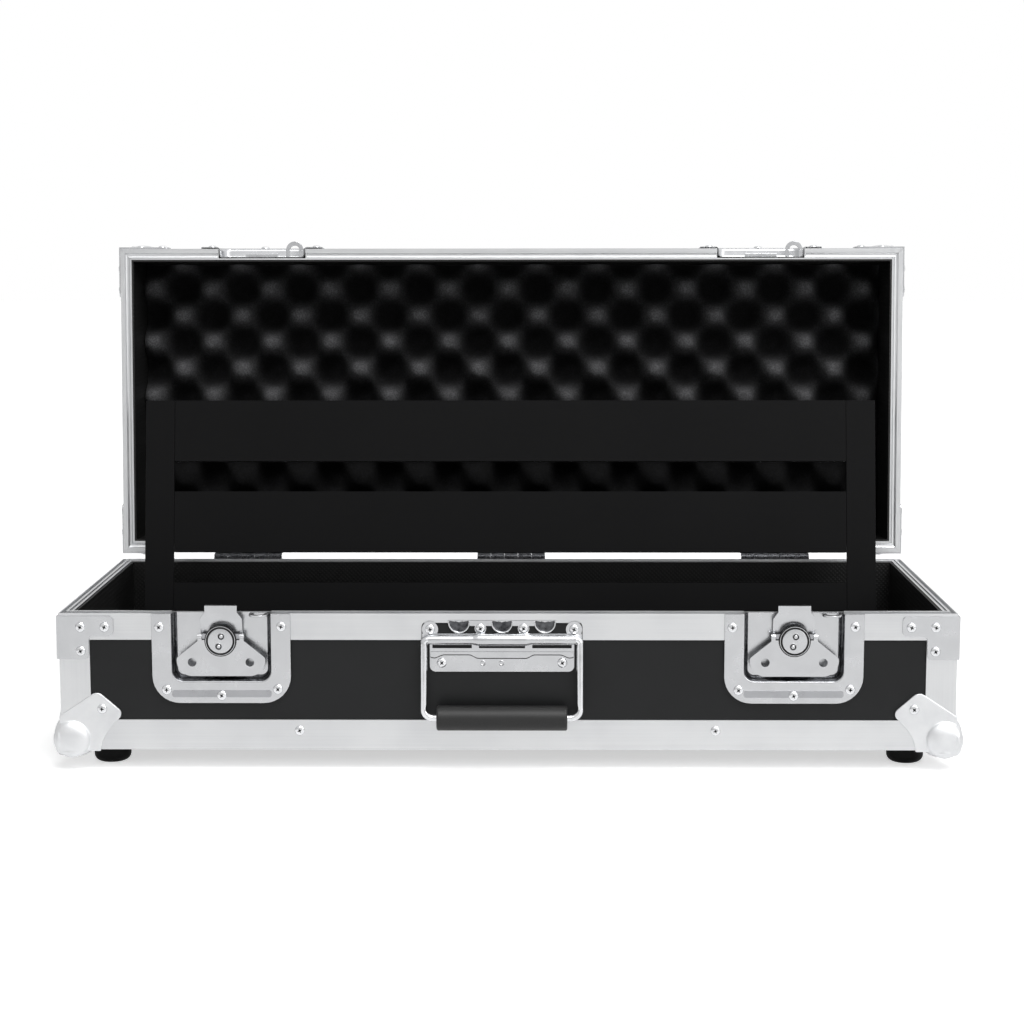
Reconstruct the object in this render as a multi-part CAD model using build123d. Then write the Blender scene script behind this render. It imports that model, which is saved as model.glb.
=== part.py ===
"""Hard case for guitar effect pedals: base, hinged lid, twist latches, spring handle and a pedal board.

Millimetres, Z up, X along the case, Y from the front face to the back.
The origin is the middle of the four rubber feet, on the surface that they stand on.
At rest the lid is open on its stops and the board stands in the base, leaning back.
"""
from build123d import *
import os

# ---------------------------------------------------------------- driving dimensions
CASE_W = 684.0          # outer width over the edge angles
CASE_D = 266.0          # outer depth
BASE_H = 106.0          # bottom of the base to the parting plane
LID_H = 78.0            # parting plane to the top of the closed lid
FOOT_H = 17.0           # rubber feet under the base
PLY = 7.0               # laminated plywood panels
SHEET = 1.5             # aluminium edge angles and stamped steel plates
ANGLE_LEG = 23.3        # leg of the edge angles
RIM_H = 20.5            # closing extrusion, height of its face
RIM_T = 9.6             # closing extrusion, thickness
LID_SEAT = 0.3          # air between the closed rims
LID_OPEN = 94.0         # degrees from closed to the hinge stops
LINING_T = 1.5          # fabric lining
LATCH_X = 218.0         # latches left and right of the middle
HINGE_X = 232.0         # outer hinges left and right of the middle
HANDLE_X = -4.0         # the handle sits a little left of the middle
BOARD_W = 609.6         # pedal board, 24 inch class
BOARD_D = 203.2         # its depth, 8 inch class
BOARD_LEAN = 10.0       # degrees that the standing board leans back

# ---------------------------------------------------------------- derived planes
HALF_W = CASE_W / 2
HALF_D = CASE_D / 2
FRONT = -HALF_D
BACK = HALF_D
Z_LOW = FOOT_H
Z_PART = FOOT_H + BASE_H
Z_TOP = Z_PART + LID_H
HINGE_Y = BACK + 5.0    # hinge pins stand off the back face
HINGE_Z = Z_PART + 0.5
WALL = SHEET + PLY      # outer face to the inner face of a panel

# ---------------------------------------------------------------- fastener sizes
SCREW_R = 1.9
SCREW_HEAD_R = 3.8
SCREW_HEAD_H = 1.6
SCREW_HEAD_ROUND = 0.9
SCREW_LEN = 7.4         # head to tip, inside the wall
CROSS = (3.2, 0.8, 1.6) # bar of the cross recess: length, width, cutter height
HOLE_PLAY = 0.08
FAR = 400.0             # longer than the case, for cutters and clipping blocks


# ---------------------------------------------------------------- helpers
def slab(x, y, z):
    """Box between the low and high value of each axis."""
    size = [abs(high - low) for low, high in (x, y, z)]
    middle = [(low + high) / 2 for low, high in (x, y, z)]
    return Pos(*middle) * Box(*size)


def rod(start, end, radius):
    """Round bar between two points."""
    along = Vector(*end) - Vector(*start)
    return extrude(Plane(Vector(*start), z_dir=along) * Circle(radius), along.length)


def plate_y(face, y0, y1):
    """Outline drawn in X and Z, thick from y0 to y1."""
    return extrude(Plane.XZ.offset(-y0) * face, y1 - y0, dir=(0, 1, 0))


def plate_x(face, x0, x1):
    """Outline drawn in Y and Z, thick from x0 to x1."""
    return extrude(Plane.YZ.offset(x0) * face, x1 - x0, dir=(1, 0, 0))


def outline(*points):
    """Closed flat outline through corner points."""
    return make_face(Polyline(*points, close=True))


def ring(z, inset):
    """Band round the case between two insets from its outer faces."""
    outer, inner = inset
    full = slab((-HALF_W + outer, HALF_W - outer), (FRONT + outer, BACK - outer), z)
    hole = slab((-HALF_W + inner, HALF_W - inner), (FRONT + inner, BACK - inner), z)
    return full - hole


def mitre_cuts(z, reach):
    """Saw cuts at 45 degrees that part a ring into its four bars."""
    cuts = []
    for sx in (-1, 1):
        for sy in (-1, 1):
            saw = Box(3 * reach, 0.1, z[1] - z[0])
            cuts.append(Pos(sx * HALF_W, sy * HALF_D, sum(z) / 2) * Rot(0, 0, 45 * sx * sy) * saw)
    return cuts


def level(side, near, far):
    """Heights at two distances from the parting plane: side -1 is the base, 1 is the lid."""
    return tuple(sorted((Z_PART + side * near, Z_PART + side * far)))


def opened(solid):
    """Moves a piece of the closed lid to the open lid."""
    return Pos(0, HINGE_Y, HINGE_Z) * Rot(-LID_OPEN, 0, 0) * Pos(0, -HINGE_Y, -HINGE_Z) * solid


# ---------------------------------------------------------------- screws
def screw(site):
    """Pan head screw: its site is the point under the head and the direction out of the wall."""
    point, out = Vector(*site[0]), Vector(*site[1])
    head = extrude(Plane(point, z_dir=out) * Circle(SCREW_HEAD_R), SCREW_HEAD_H)
    rim_edges = head.edges().group_by(lambda edge: (edge.center() - point).dot(out))[-1]
    head = fillet(rim_edges, SCREW_HEAD_ROUND)
    face = Plane(point + out * SCREW_HEAD_H, z_dir=out)
    recess = [face * Rot(0, 0, turn) * Box(*CROSS) for turn in (0, 90)]
    return head - recess + rod(point + out * 0.2, point - out * SCREW_LEN, SCREW_R)


def bores(sites):
    """Clearance holes for the shanks of screws."""
    holes = []
    for point, out in sites:
        point, out = Vector(*point), Vector(*out)
        holes.append(rod(point + out * 0.5, point - out * (SCREW_LEN + 0.3), SCREW_R + HOLE_PLAY))
    return holes


BRACE_SCREWS = ((16.9, 10.5), (35.4, 10.5), (16.9, 29.0))   # from the side, from the parting plane
LOBE_AT = 32.0                                             # ball corner screw from side and bottom
BRACE_T = SHEET
LOBE_T = 1.2


def brace_sites(side):
    """Screws of the four rim corner braces, on the long and the short faces."""
    sites = []
    for along, drop in BRACE_SCREWS:
        for sx in (-1, 1):
            for sy in (-1, 1):
                z = Z_PART + side * drop
                sites.append(((sx * (HALF_W - along), sy * (HALF_D + BRACE_T), z), (0, sy, 0)))
                sites.append(((sx * (HALF_W + BRACE_T), sy * (HALF_D - along), z), (sx, 0, 0)))
    return sites


def ball_sites(side, height):
    """Screws of the four ball corners."""
    z = Z_PART + side * (height - LOBE_AT)
    sites = []
    for sx in (-1, 1):
        for sy in (-1, 1):
            sites.append(((sx * (HALF_W - LOBE_AT), sy * (HALF_D + LOBE_T), z), (0, sy, 0)))
            sites.append(((sx * (HALF_W + LOBE_T), sy * (HALF_D - LOBE_AT), z), (sx, 0, 0)))
    return sites


EDGE_SCREW_X = 159.0
EDGE_SCREW_UP = 15.0


def edge_sites(side, height):
    """Screws of the long edge angles, front and back."""
    z = Z_PART + side * (height - EDGE_SCREW_UP)
    return [((sx * EDGE_SCREW_X, sy * HALF_D, z), (0, sy, 0)) for sx in (-1, 1) for sy in (-1, 1)]


# ---------------------------------------------------------------- case shells
def long_panel(side, height, sy):
    """Front or back panel: it stands in the slot of the rim."""
    y = sorted((sy * (HALF_D - SHEET), sy * (HALF_D - WALL)))
    return slab((-HALF_W + SHEET, HALF_W - SHEET), y, level(side, RIM_SLOT + 0.5, height - SHEET))


def short_panel(side, height, sx):
    """Left or right panel, between the long ones."""
    x = sorted((sx * (HALF_W - SHEET), sx * (HALF_W - WALL)))
    return slab(x, (FRONT + WALL, BACK - WALL), level(side, RIM_SLOT + 0.5, height - SHEET))


def flat_panel(side, height):
    """Floor of the base or top of the lid."""
    return slab((-HALF_W + WALL, HALF_W - WALL), (FRONT + WALL, BACK - WALL),
                level(side, height - WALL, height - SHEET))


RIM_SLOT = 7.5          # solid part of the rim between the parting plane and the panel slot
BEAD = (5.2, 7.0)       # raised bead of the base rim, inset from the outer face
BEAD_H = 1.0
DRAIN = (1.0, 5.2)      # sunk channel of the base rim, outside the bead
DRAIN_H = 2.4
GROOVE = (4.0, 8.0)     # channel of the lid rim that takes the bead
GROOVE_H = 1.8


def rim(side):
    """Closing extrusion: four mitred bars with a slot for the panels."""
    near = LID_SEAT if side > 0 else 0
    bars = ring(level(side, near, RIM_H), (0, RIM_T))
    bars -= ring(level(side, RIM_SLOT, RIM_H), (SHEET, WALL))
    if side > 0:
        bars -= ring(level(side, near, GROOVE_H), GROOVE)
    else:
        bars += ring(level(side, -BEAD_H, 0), BEAD)
        bars -= ring(level(side, 0, DRAIN_H), DRAIN)
    return bars - mitre_cuts(level(side, -BEAD_H, RIM_H), RIM_T)


def edge_angles(side, height):
    """Angles round the bottom of the base or the top of the lid."""
    upright = ring(level(side, height - ANGLE_LEG, height), (0, SHEET))
    flat = ring(level(side, height - SHEET, height), (0, ANGLE_LEG))
    return upright + flat - mitre_cuts(level(side, height - ANGLE_LEG, height), ANGLE_LEG)


def corner_angles(side, height):
    """Upright angles between the rim and the edge angles."""
    z = level(side, RIM_H + 0.1, height - ANGLE_LEG - 0.1)
    band = ring(z, (0, SHEET))
    return [band & slab(sorted((sx * HALF_W, sx * (HALF_W - ANGLE_LEG))),
                        sorted((sy * HALF_D, sy * (HALF_D - ANGLE_LEG))), z)
            for sx in (-1, 1) for sy in (-1, 1)]


BRACE_TOP = 2.0         # parting plane to the brace
BRACE_LONG = 42.0
BRACE_TALL = 35.3
BRACE_ARM = 23.0        # width of the upright arm
BRACE_BAND = 17.1       # lower edge of the lying arm
BRACE_ROUND = 3.5


def brace_face(side):
    """Rounded L of one face of a rim corner brace, measured from the corner."""
    shape = outline((0, BRACE_TOP), (BRACE_LONG, BRACE_TOP), (BRACE_LONG, BRACE_BAND),
                    (BRACE_ARM, BRACE_BAND), (BRACE_ARM, BRACE_TALL), (0, BRACE_TALL))
    away = [corner for corner in shape.vertices() if corner.X > 1]
    shape = fillet(away, BRACE_ROUND)
    return Pos(0, Z_PART) * (shape if side > 0 else mirror(shape, Plane.XZ))


def corner_braces(side):
    """Braces that wrap the four corners of the rim."""
    braces = []
    face = brace_face(side)
    for sx in (-1, 1):
        for sy in (-1, 1):
            flat = face if sx < 0 else mirror(face, Plane.YZ)
            y = sorted((sy * HALF_D, sy * (HALF_D + BRACE_T)))
            front = plate_y(Pos(sx * HALF_W, 0) * flat, *y)
            flat = face if sy < 0 else mirror(face, Plane.YZ)
            x = sorted((sx * HALF_W, sx * (HALF_W + BRACE_T)))
            flank = plate_x(Pos(sy * HALF_D, 0) * flat, *x)
            bend = slab(x, y, level(side, BRACE_TOP, BRACE_TALL))
            braces.append(front + flank + bend)
    return braces


BALL_R = 14.2
BALL_IN = 8.0           # centre of the ball inside the three faces
LEAF = (                # outline of a leaf from the corner of the case: along, up, rounding
    (-LOBE_T, -LOBE_T, 0), (-LOBE_T, 27.0, 0), (28.5, 45.8, 16.0), (45.5, 45.5, 11.4),
    (45.3, 25.0, 17.5), (30.5, 9.5, 8.6), (29.5, -LOBE_T, 0))


def lobe():
    """Leaf of a ball corner on one face, measured from the corner and wrapped round its edges."""
    leaf = outline(*[(x, y) for x, y, _ in LEAF])
    for x, y, rounding in LEAF:
        if rounding:
            corner = leaf.vertices().sort_by_distance((x, y))[0]
            leaf = fillet(corner, rounding)
    return leaf


def ball_corners(side, height):
    """Ball corners: a round cap and three leaves each."""
    block = slab((-HALF_W, HALF_W), (FRONT, BACK), level(side, 0, height))
    far = Z_PART + side * height
    corners = []
    for sx in (-1, 1):
        for sy in (-1, 1):
            centre = Pos(sx * (HALF_W - BALL_IN), sy * (HALF_D - BALL_IN), far - side * BALL_IN)
            leaf = lobe() if side < 0 else mirror(lobe(), Plane.XZ)
            along_x = leaf if sx < 0 else mirror(leaf, Plane.YZ)
            along_y = leaf if sy < 0 else mirror(leaf, Plane.YZ)
            front = plate_y(Pos(sx * HALF_W, far) * along_x, *sorted((sy * HALF_D, sy * (HALF_D + LOBE_T))))
            flank = plate_x(Pos(sy * HALF_D, far) * along_y, *sorted((sx * HALF_W, sx * (HALF_W + LOBE_T))))
            flat = slab(sorted((sx * (HALF_W + LOBE_T), sx * (HALF_W - ANGLE_LEG))),
                        sorted((sy * (HALF_D + LOBE_T), sy * (HALF_D - ANGLE_LEG))),
                        sorted((far, far + side * LOBE_T)))
            cap = centre * Sphere(BALL_R) - block
            corners.append(cap + front + flank + flat)
    return corners


LINING_NEAR = 1.0       # parting plane to the edge of the lining
LINING_GAP = 0.2


def wall_lining(side, height):
    """Padded fabric on the inner faces of the four walls and of the rim."""
    far = height - WALL - LINING_GAP
    cloth = ring(level(side, LINING_NEAR, far), (RIM_T, RIM_T + LINING_T))
    return cloth + ring(level(side, RIM_H + LINING_GAP, far), (WALL, RIM_T))


FOOT_R = 14.6
FOOT_TAPER = 1.6        # the sole is this much smaller in radius
FOOT_ROUND = 1.2
FOOT_X = HALF_W - 32.0
FOOT_Y = HALF_D - 37.0
FOOT_BOSS_R = 8.0       # raised middle that meets the floor panel inside the edge angles
FOOT_SUNK_R = 5.2
FOOT_SUNK = 4.5
FOOT_HEAD_R = 4.6
FOOT_HEAD_H = 1.8
FOOT_SCREW_R = 2.4
FOOT_SCREW_TOP = FOOT_H + SHEET + 5.0


def feet():
    """Tapered rubber feet with a sunk screw hole."""
    foot = Pos(0, 0, FOOT_H / 2) * Cone(FOOT_R - FOOT_TAPER, FOOT_R, FOOT_H)
    foot = fillet(foot.edges().sort_by(Axis.Z)[0], FOOT_ROUND)
    foot += rod((0, 0, FOOT_H - 1), (0, 0, FOOT_H + SHEET), FOOT_BOSS_R)
    foot -= rod((0, 0, -1), (0, 0, FOOT_SUNK), FOOT_SUNK_R)
    foot -= rod((0, 0, 0), (0, 0, FOOT_H + 2 * SHEET), FOOT_SCREW_R + HOLE_PLAY)
    return [Pos(x, y, 0) * foot for x in (-FOOT_X, FOOT_X) for y in (-FOOT_Y, FOOT_Y)]


def foot_screws():
    """Screws up through the feet into the floor panel."""
    head = rod((0, 0, FOOT_SUNK - FOOT_HEAD_H), (0, 0, FOOT_SUNK), FOOT_HEAD_R)
    shank = rod((0, 0, FOOT_SUNK - 1), (0, 0, FOOT_SCREW_TOP), FOOT_SCREW_R)
    return [Pos(x, y, 0) * (head + shank) for x in (-FOOT_X, FOOT_X) for y in (-FOOT_Y, FOOT_Y)]


def foot_bores():
    """Holes in the floor for the screws of the feet."""
    return [rod((x, y, Z_LOW - 1), (x, y, FOOT_SCREW_TOP + 0.3), FOOT_SCREW_R + HOLE_PLAY)
            for x in (-FOOT_X, FOOT_X) for y in (-FOOT_Y, FOOT_Y)]


# ---------------------------------------------------------------- twist latches
DISH_HALF = 53.0        # half width of the flange
DISH_DROP = 69.5        # parting plane to the lower edge of the flange
DISH_ROUND = 21.0
POCKET_HALF = 36.6
POCKET_DROP = 51.0
POCKET_ROUND = 7.0
POCKET_DEEP = 7.0       # case face to the pocket floor
DISH_T = 1.2
FLANGE = (FRONT - SHEET, FRONT)
HUB_DROP = 20.5         # parting plane to the axis of the hub
SHAFT_R = 4.0
LID_DISH_H = 32.0
LID_POCKET_H = 22.0
DISH_SCREWS = ((-47.0, 10.5), (46.0, 10.0), (-42.0, 59.0), (43.0, 58.5), (0.0, 63.4))
LID_DISH_SCREWS = ((-44.5, 10.0), (47.0, 10.0), (0.0, 27.0))
EYE_X = 28.8            # padlock eye, right of the latch's middle
EYE_R = 8.3
EYE_HOLE_R = 3.6
EYE_OUT = 6.4           # reach of the eye in front of the case face
EYE_Z = (0.6, 2.1)      # its faces, from the parting plane
EYE_HOLE_IN = 3.0       # the hole's centre is this much nearer the front than the eye's
LID_DISH_ROUND = 12.0


def dish_outline(half, drop, rounding, side):
    """Rectangle that starts at the parting plane, with its two far corners rounded."""
    near = LID_SEAT
    shape = outline((-half, near), (half, near), (half, drop), (-half, drop))
    shape = fillet([corner for corner in shape.vertices() if corner.Y > near + 1], rounding)
    return Pos(0, Z_PART) * (shape if side > 0 else mirror(shape, Plane.XZ))


def latch_eye(side):
    """Half-round tab with a hole for a padlock, lying across the pocket."""
    z = level(side, *EYE_Z)
    middle = FRONT - EYE_OUT + EYE_R
    root = FRONT + POCKET_DEEP + 0.2
    tab = rod((0, middle, z[0]), (0, middle, z[1]), EYE_R)
    stem = slab((-EYE_R, EYE_R), (middle, root), z)
    hole = rod((0, middle - EYE_HOLE_IN, z[0] - 1), (0, middle - EYE_HOLE_IN, z[1] + 1), EYE_HOLE_R)
    wall = slab((-EYE_R, EYE_R), (root, BACK), z)
    return Pos(EYE_X, 0, 0) * (tab + stem - hole - wall)


def latch_dish(side):
    """Stamped dish of one latch half, at X = 0: flange, open-topped pocket and padlock eye."""
    drop = DISH_DROP if side < 0 else LID_DISH_H
    pocket_drop = POCKET_DROP if side < 0 else LID_POCKET_H
    rounding = DISH_ROUND if side < 0 else LID_DISH_ROUND
    body = plate_y(dish_outline(DISH_HALF, drop, rounding, side), *FLANGE)
    tub = dish_outline(POCKET_HALF + DISH_T, pocket_drop + DISH_T, POCKET_ROUND, side)
    body += plate_y(tub, FRONT - 0.2, FRONT + POCKET_DEEP + DISH_T)
    hollow = dish_outline(POCKET_HALF, pocket_drop, POCKET_ROUND - DISH_T, side)
    hollow += Pos(0, Z_PART) * Rectangle(2 * POCKET_HALF, 4)
    body -= plate_y(hollow, FRONT - 3, FRONT + POCKET_DEEP)
    body += latch_eye(side)
    if side < 0:
        z = Z_PART - HUB_DROP
        shaft_hole = rod((0, FRONT, z), (0, FRONT + 2 * POCKET_DEEP, z), SHAFT_R + HOLE_PLAY)
        return body - shaft_hole
    return body + slab((-STRIKE_HALF, STRIKE_HALF), (FRONT + STRIKE_FRONT, FRONT + POCKET_DEEP + 0.2),
                       level(1, *STRIKE_Z))


STRIKE_HALF = 14.0      # keeper bar in the lid dish that the tongue pulls on
STRIKE_FRONT = 4.4
STRIKE_Z = (1.0, 3.0)


def dish_cut(side):
    """Room for the tub of a dish in the front wall and the rim."""
    drop = (POCKET_DROP if side < 0 else LID_POCKET_H) + DISH_T + 0.2
    half = POCKET_HALF + DISH_T + 0.2
    deep = FRONT + POCKET_DEEP + DISH_T + 0.1
    return [slab((x - half, x + half), (FRONT - 1, deep), level(side, -4, drop)) for x in (-LATCH_X, LATCH_X)]


def dish_sites(side):
    """Screws of the two latch flanges on one half of the case."""
    spots = DISH_SCREWS if side < 0 else LID_DISH_SCREWS
    return [((x + dx, FRONT - SHEET, Z_PART + side * drop), (0, -1, 0))
            for x in (-LATCH_X, LATCH_X) for dx, drop in spots]


TONGUE_T = 1.6
TONGUE_NECK = 1.0       # rear face of the tongue's upper part, inside the case face
TONGUE_BACK = 3.6       # rear face of its lower part and tip of its hook
TONGUE_BEND = (-9.0, -4.0)  # cranked part between the two, from the parting plane
TONGUE_TOP = 6.0        # above the parting plane when released
TONGUE_LOW = -36.0
TONGUE_HALF = 16.0
HOOK_HALF = 12.4
TONGUE_SLOT = (9.0, 11.4, 4.4)  # width, height and rounding of the slot round the shaft


def latch_tongue():
    """Hooked tongue at X = 0, released: it stands up and out, clear of the keeper bar."""
    t = TONGUE_T
    neck, back = FRONT + TONGUE_NECK, FRONT + TONGUE_BACK
    top, low = Z_PART + TONGUE_TOP, Z_PART + TONGUE_LOW
    bend_low, bend_top = [Z_PART + height for height in TONGUE_BEND]
    profile = outline((neck - t, top), (back, top), (back, top - t), (neck, top - t), (neck, bend_top),
                      (back, bend_low), (back, low), (back - t, low), (back - t, bend_low - 0.4),
                      (neck - t, bend_top - 0.4))
    tongue = plate_x(profile, -TONGUE_HALF, TONGUE_HALF)
    shoulder = TONGUE_BEND[1]
    trim = outline((HOOK_HALF, 2 * TONGUE_TOP), (HOOK_HALF, 1), (TONGUE_HALF, shoulder),
                   (2 * TONGUE_HALF, shoulder), (2 * TONGUE_HALF, 2 * TONGUE_TOP))
    for half in (trim, mirror(trim, Plane.YZ)):
        tongue -= plate_y(Pos(0, Z_PART) * half, FRONT - POCKET_DEEP, FRONT + POCKET_DEEP)
    slot = Pos(0, Z_PART - HUB_DROP + 0.5) * RectangleRounded(*TONGUE_SLOT)
    return tongue - plate_y(slot, FRONT - POCKET_DEEP, FRONT + POCKET_DEEP)


DISC_R = 10.9
DISC_Y = (-4.2, -1.7)   # disc of the hub, measured from the case face
DISC_ROUND = 0.8
BAR_RISE = 1.8          # half height of the hub's cross bar
RIVET_R = 2.5
RIVET_OUT = 0.7         # rivet heads in front of the disc
RIVETS = ((0.7, 4.3), (-1.2, -3.4))
WING_FRONT = -3.3       # wing plate, measured from the case face
WING_BACK = -1.8
PIVOT_RISE = 3.3        # wing pivot above the hub's axis
PIVOT_IN = -2.55
PIVOT_HALF = 14.1
WING_EAR = 17.6
WING_PIN_R = 0.9


def latch_hub():
    """Round hub at X = 0: disc, cross bar with the pivot pins of the wing, shaft and two rivets."""
    z = Z_PART - HUB_DROP
    pivot = z + PIVOT_RISE
    front, back = [FRONT + y for y in DISC_Y]
    disc = rod((0, front, z), (0, back, z), DISC_R)
    disc = fillet(disc.edges().sort_by(Axis.Y)[0], DISC_ROUND)
    bar = slab((-PIVOT_HALF, PIVOT_HALF), (FRONT + WING_FRONT, back), (pivot - BAR_RISE, pivot + BAR_RISE))
    pin_y = FRONT + PIVOT_IN
    pins = [rod((sx * PIVOT_HALF, pin_y, pivot), (sx * WING_EAR, pin_y, pivot), WING_PIN_R) for sx in (-1, 1)]
    shaft = rod((0, back - 0.1, z), (0, FRONT + POCKET_DEEP + DISH_T, z), SHAFT_R)
    rivets = [rod((dx, front - RIVET_OUT, z + dz), (dx, front + 0.1, z + dz), RIVET_R) for dx, dz in RIVETS]
    return disc + bar + pins + shaft + rivets


WING_HALF = 33.8
WING_LOW = 48.0         # parting plane to the wing's lower edge
WING_ROUND = 12.0
WING_SHOULDER = 33.9
WING_SHOULDER_ROUND = 3.0
WING_HOLES = ((-22.0, 37.3), (22.0, 37.3))
WING_HOLE_R = 3.3
EAR_TOP = HUB_DROP - 5.2    # parting plane to the wing's ears
EAR_LOW = HUB_DROP + 0.4
EYELET_R = 1.9          # rolled ear round the pin
PIN_PLAY = 0.05
DISC_GAP = 0.7


def latch_wing():
    """Folding butterfly grip at X = 0, lying flat below the hub."""
    shape = outline((-WING_EAR, -EAR_TOP), (-WING_EAR, -EAR_LOW), (-WING_HALF, -WING_SHOULDER),
                    (-WING_HALF, -WING_LOW), (WING_HALF, -WING_LOW), (WING_HALF, -WING_SHOULDER),
                    (WING_EAR, -EAR_LOW), (WING_EAR, -EAR_TOP))
    corners = shape.vertices().group_by(Axis.Y)
    shape = fillet(corners[0], WING_ROUND)
    shoulders = [corner for corner in shape.vertices() if abs(corner.Y + WING_SHOULDER) < 0.1]
    shape = fillet(shoulders, WING_SHOULDER_ROUND)
    shape -= Pos(0, -HUB_DROP) * Circle(DISC_R + DISC_GAP)
    shape -= Pos(0, -EAR_TOP) * Rectangle(2 * PIVOT_HALF + 0.6, 2 * (EAR_LOW - EAR_TOP) - 1.8)
    for x, drop in WING_HOLES:
        shape -= Pos(x, -drop) * Circle(WING_HOLE_R)
    wing = plate_y(Pos(0, Z_PART) * shape, FRONT + WING_FRONT, FRONT + WING_BACK)
    y, z = FRONT + PIVOT_IN, Z_PART - HUB_DROP + PIVOT_RISE
    pin_hole = rod((-WING_HALF, y, z), (WING_HALF, y, z), WING_PIN_R + PIN_PLAY)
    eye = [rod((sx * (PIVOT_HALF + 0.3), y, z), (sx * WING_EAR, y, z), EYELET_R) for sx in (-1, 1)]
    return wing + eye - pin_hole


# ---------------------------------------------------------------- spring handle
HANDLE_HALF = 60.8      # back plate
HANDLE_TOP = 5.5        # parting plane to the top edge
HANDLE_LOW = 45.0       # and to the lower edge
LOWER_HALF = 55.0       # half width of the plate below the barrel
BARREL_DROP = 19.4      # parting plane to the pivot axis
BARREL_R = 3.6
BARREL_HALF = 56.0
RAISED_R = 4.7          # the middle of the barrel is wider and holds the spring
RAISED_HALF = 17.8
FLARE_HALF = 22.5       # end of the slope from the raised middle
SPRING_ROOM = (15.5, 3.95)  # half length and radius of the room round the spring
BARREL_STRAP = (1.0, 3.2)   # strap that ties the barrel to the plate, above the axis
BAIL_R = 2.6
BAIL_HALF = 59.4        # legs, to the wire's centre
BAIL_BEND = 7.0
BAIL_TOP_BEND = 3.2
PIVOT_OUT = 4.8         # pivot axis in front of the case face
GRIP_DROP = 79.0        # parting plane to the grip's axis
GRIP_R = 9.5
GRIP_HALF = 49.6
GRIP_ROUND = 1.6
BAIL_TILT = 5.5         # the hanging grip is held off the panel
EAR_SCREWS = ((-54.8, 12.3), (54.8, 12.3), (-16.4, 11.6), (16.4, 11.6), (-45.9, 38.1), (45.9, 38.1))
EAR_R = 6.2
TAB_R = 4.4
CUP_X = 32.7            # pressed half-round cups under the top edge
CUP_R = 7.6
CUP_DROP = 7.0
CUP_DEEP = 0.9
STRIP = (15.5, 24.0)    # band of the plate behind the barrel
BAND_LOW = 9.6          # lower edge of the cup band, from the parting plane
CUP_WALL = 0.8
LOWER_ROUND = 4.5
WINDOWS = ((-38.0, 15.0), (0.0, 17.5), (38.0, 15.0))    # middle and half length
WINDOW_DROP = 25.5
WINDOW_H = 2.6


def handle_plate_outline():
    """Plate outline: ears, cup band and screw tabs above the barrel, a rounded plate below it."""
    lower = Pos(0, -(STRIP[0] + HANDLE_LOW) / 2) * Rectangle(2 * LOWER_HALF, HANDLE_LOW - STRIP[0])
    lower = fillet(lower.vertices().group_by(Axis.Y)[0], LOWER_ROUND)
    strip = Pos(0, -sum(STRIP) / 2) * Rectangle(2 * HANDLE_HALF, STRIP[1] - STRIP[0])
    band = Pos(0, -(HANDLE_TOP + BAND_LOW) / 2) * Rectangle(2 * (CUP_X + CUP_R), BAND_LOW - HANDLE_TOP)
    shape = lower + strip + band
    for (x, drop), radius in zip(EAR_SCREWS[:4], (EAR_R, EAR_R, TAB_R, TAB_R)):
        shape += Pos(x, -drop) * Circle(radius)
        shape += Pos(x, -(drop + STRIP[0] + 1) / 2) * Rectangle(1.5 * radius, STRIP[0] + 1 - drop)
    for x in (-CUP_X, 0, CUP_X):
        shape += Pos(x, -CUP_DROP) * Circle(CUP_R + CUP_WALL)
    above = Pos(0, -HANDLE_TOP + FAR / 2) * Rectangle(FAR, FAR)
    for x, half in WINDOWS:
        shape -= Pos(x, -WINDOW_DROP) * Rectangle(2 * half, WINDOW_H)
    return Pos(HANDLE_X, Z_PART) * (shape - above)


def handle_plate():
    """Back plate of the handle, sunk in the rim's notch, with three pressed cups."""
    plate = plate_y(handle_plate_outline(), FRONT, FRONT + SHEET)
    for x in (-CUP_X, 0, CUP_X):
        plate -= plate_y(Pos(HANDLE_X + x, Z_PART - CUP_DROP) * Circle(CUP_R), FRONT - 1, FRONT + CUP_DEEP)
    return plate


def handle_notch():
    """Notch in the rim's face round the upper part of the handle plate."""
    gap = 0.5
    half = HANDLE_HALF + gap
    shape = Pos(HANDLE_X, Z_PART - (HANDLE_TOP - gap + RIM_H + 1) / 2) * \
        Rectangle(2 * half, RIM_H + 1 - HANDLE_TOP + gap)
    shape = fillet(shape.vertices().group_by(Axis.Y)[-1], EAR_R)
    return plate_y(shape, FRONT - 1, FRONT + SHEET)


def turned(*points):
    """Solid turned about the X axis and mirrored about X = 0: points are (x, radius) from its end."""
    mirrored = [(-x, radius) for x, radius in reversed(points)]
    end = points[0][0]
    return revolve(outline((end, 0), *points, *mirrored, (-end, 0)), Axis.X)


def handle_barrel():
    """Rolled barrel in front of the plate: it holds the bail's pivot rod and hides the spring."""
    z = Z_PART - BARREL_DROP
    y = FRONT - PIVOT_OUT
    roll = turned((BARREL_HALF, BARREL_R), (FLARE_HALF, BARREL_R), (RAISED_HALF, RAISED_R))
    room, wide = SPRING_ROOM
    bore = BAIL_R + PIN_PLAY
    hollow = turned((BARREL_HALF + 1, bore), (room, bore), (room, wide))
    strap = slab((-BARREL_HALF, BARREL_HALF), (0, PIVOT_OUT), BARREL_STRAP)
    return Pos(HANDLE_X, y, z) * (roll + strap - hollow)


def hung(solid):
    """Tilts a piece of the bail about its pivot, as it hangs at rest."""
    y, z = FRONT - PIVOT_OUT, Z_PART - BARREL_DROP
    return Pos(0, y, z) * Rot(-BAIL_TILT, 0, 0) * Pos(0, -y, -z) * solid


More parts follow.
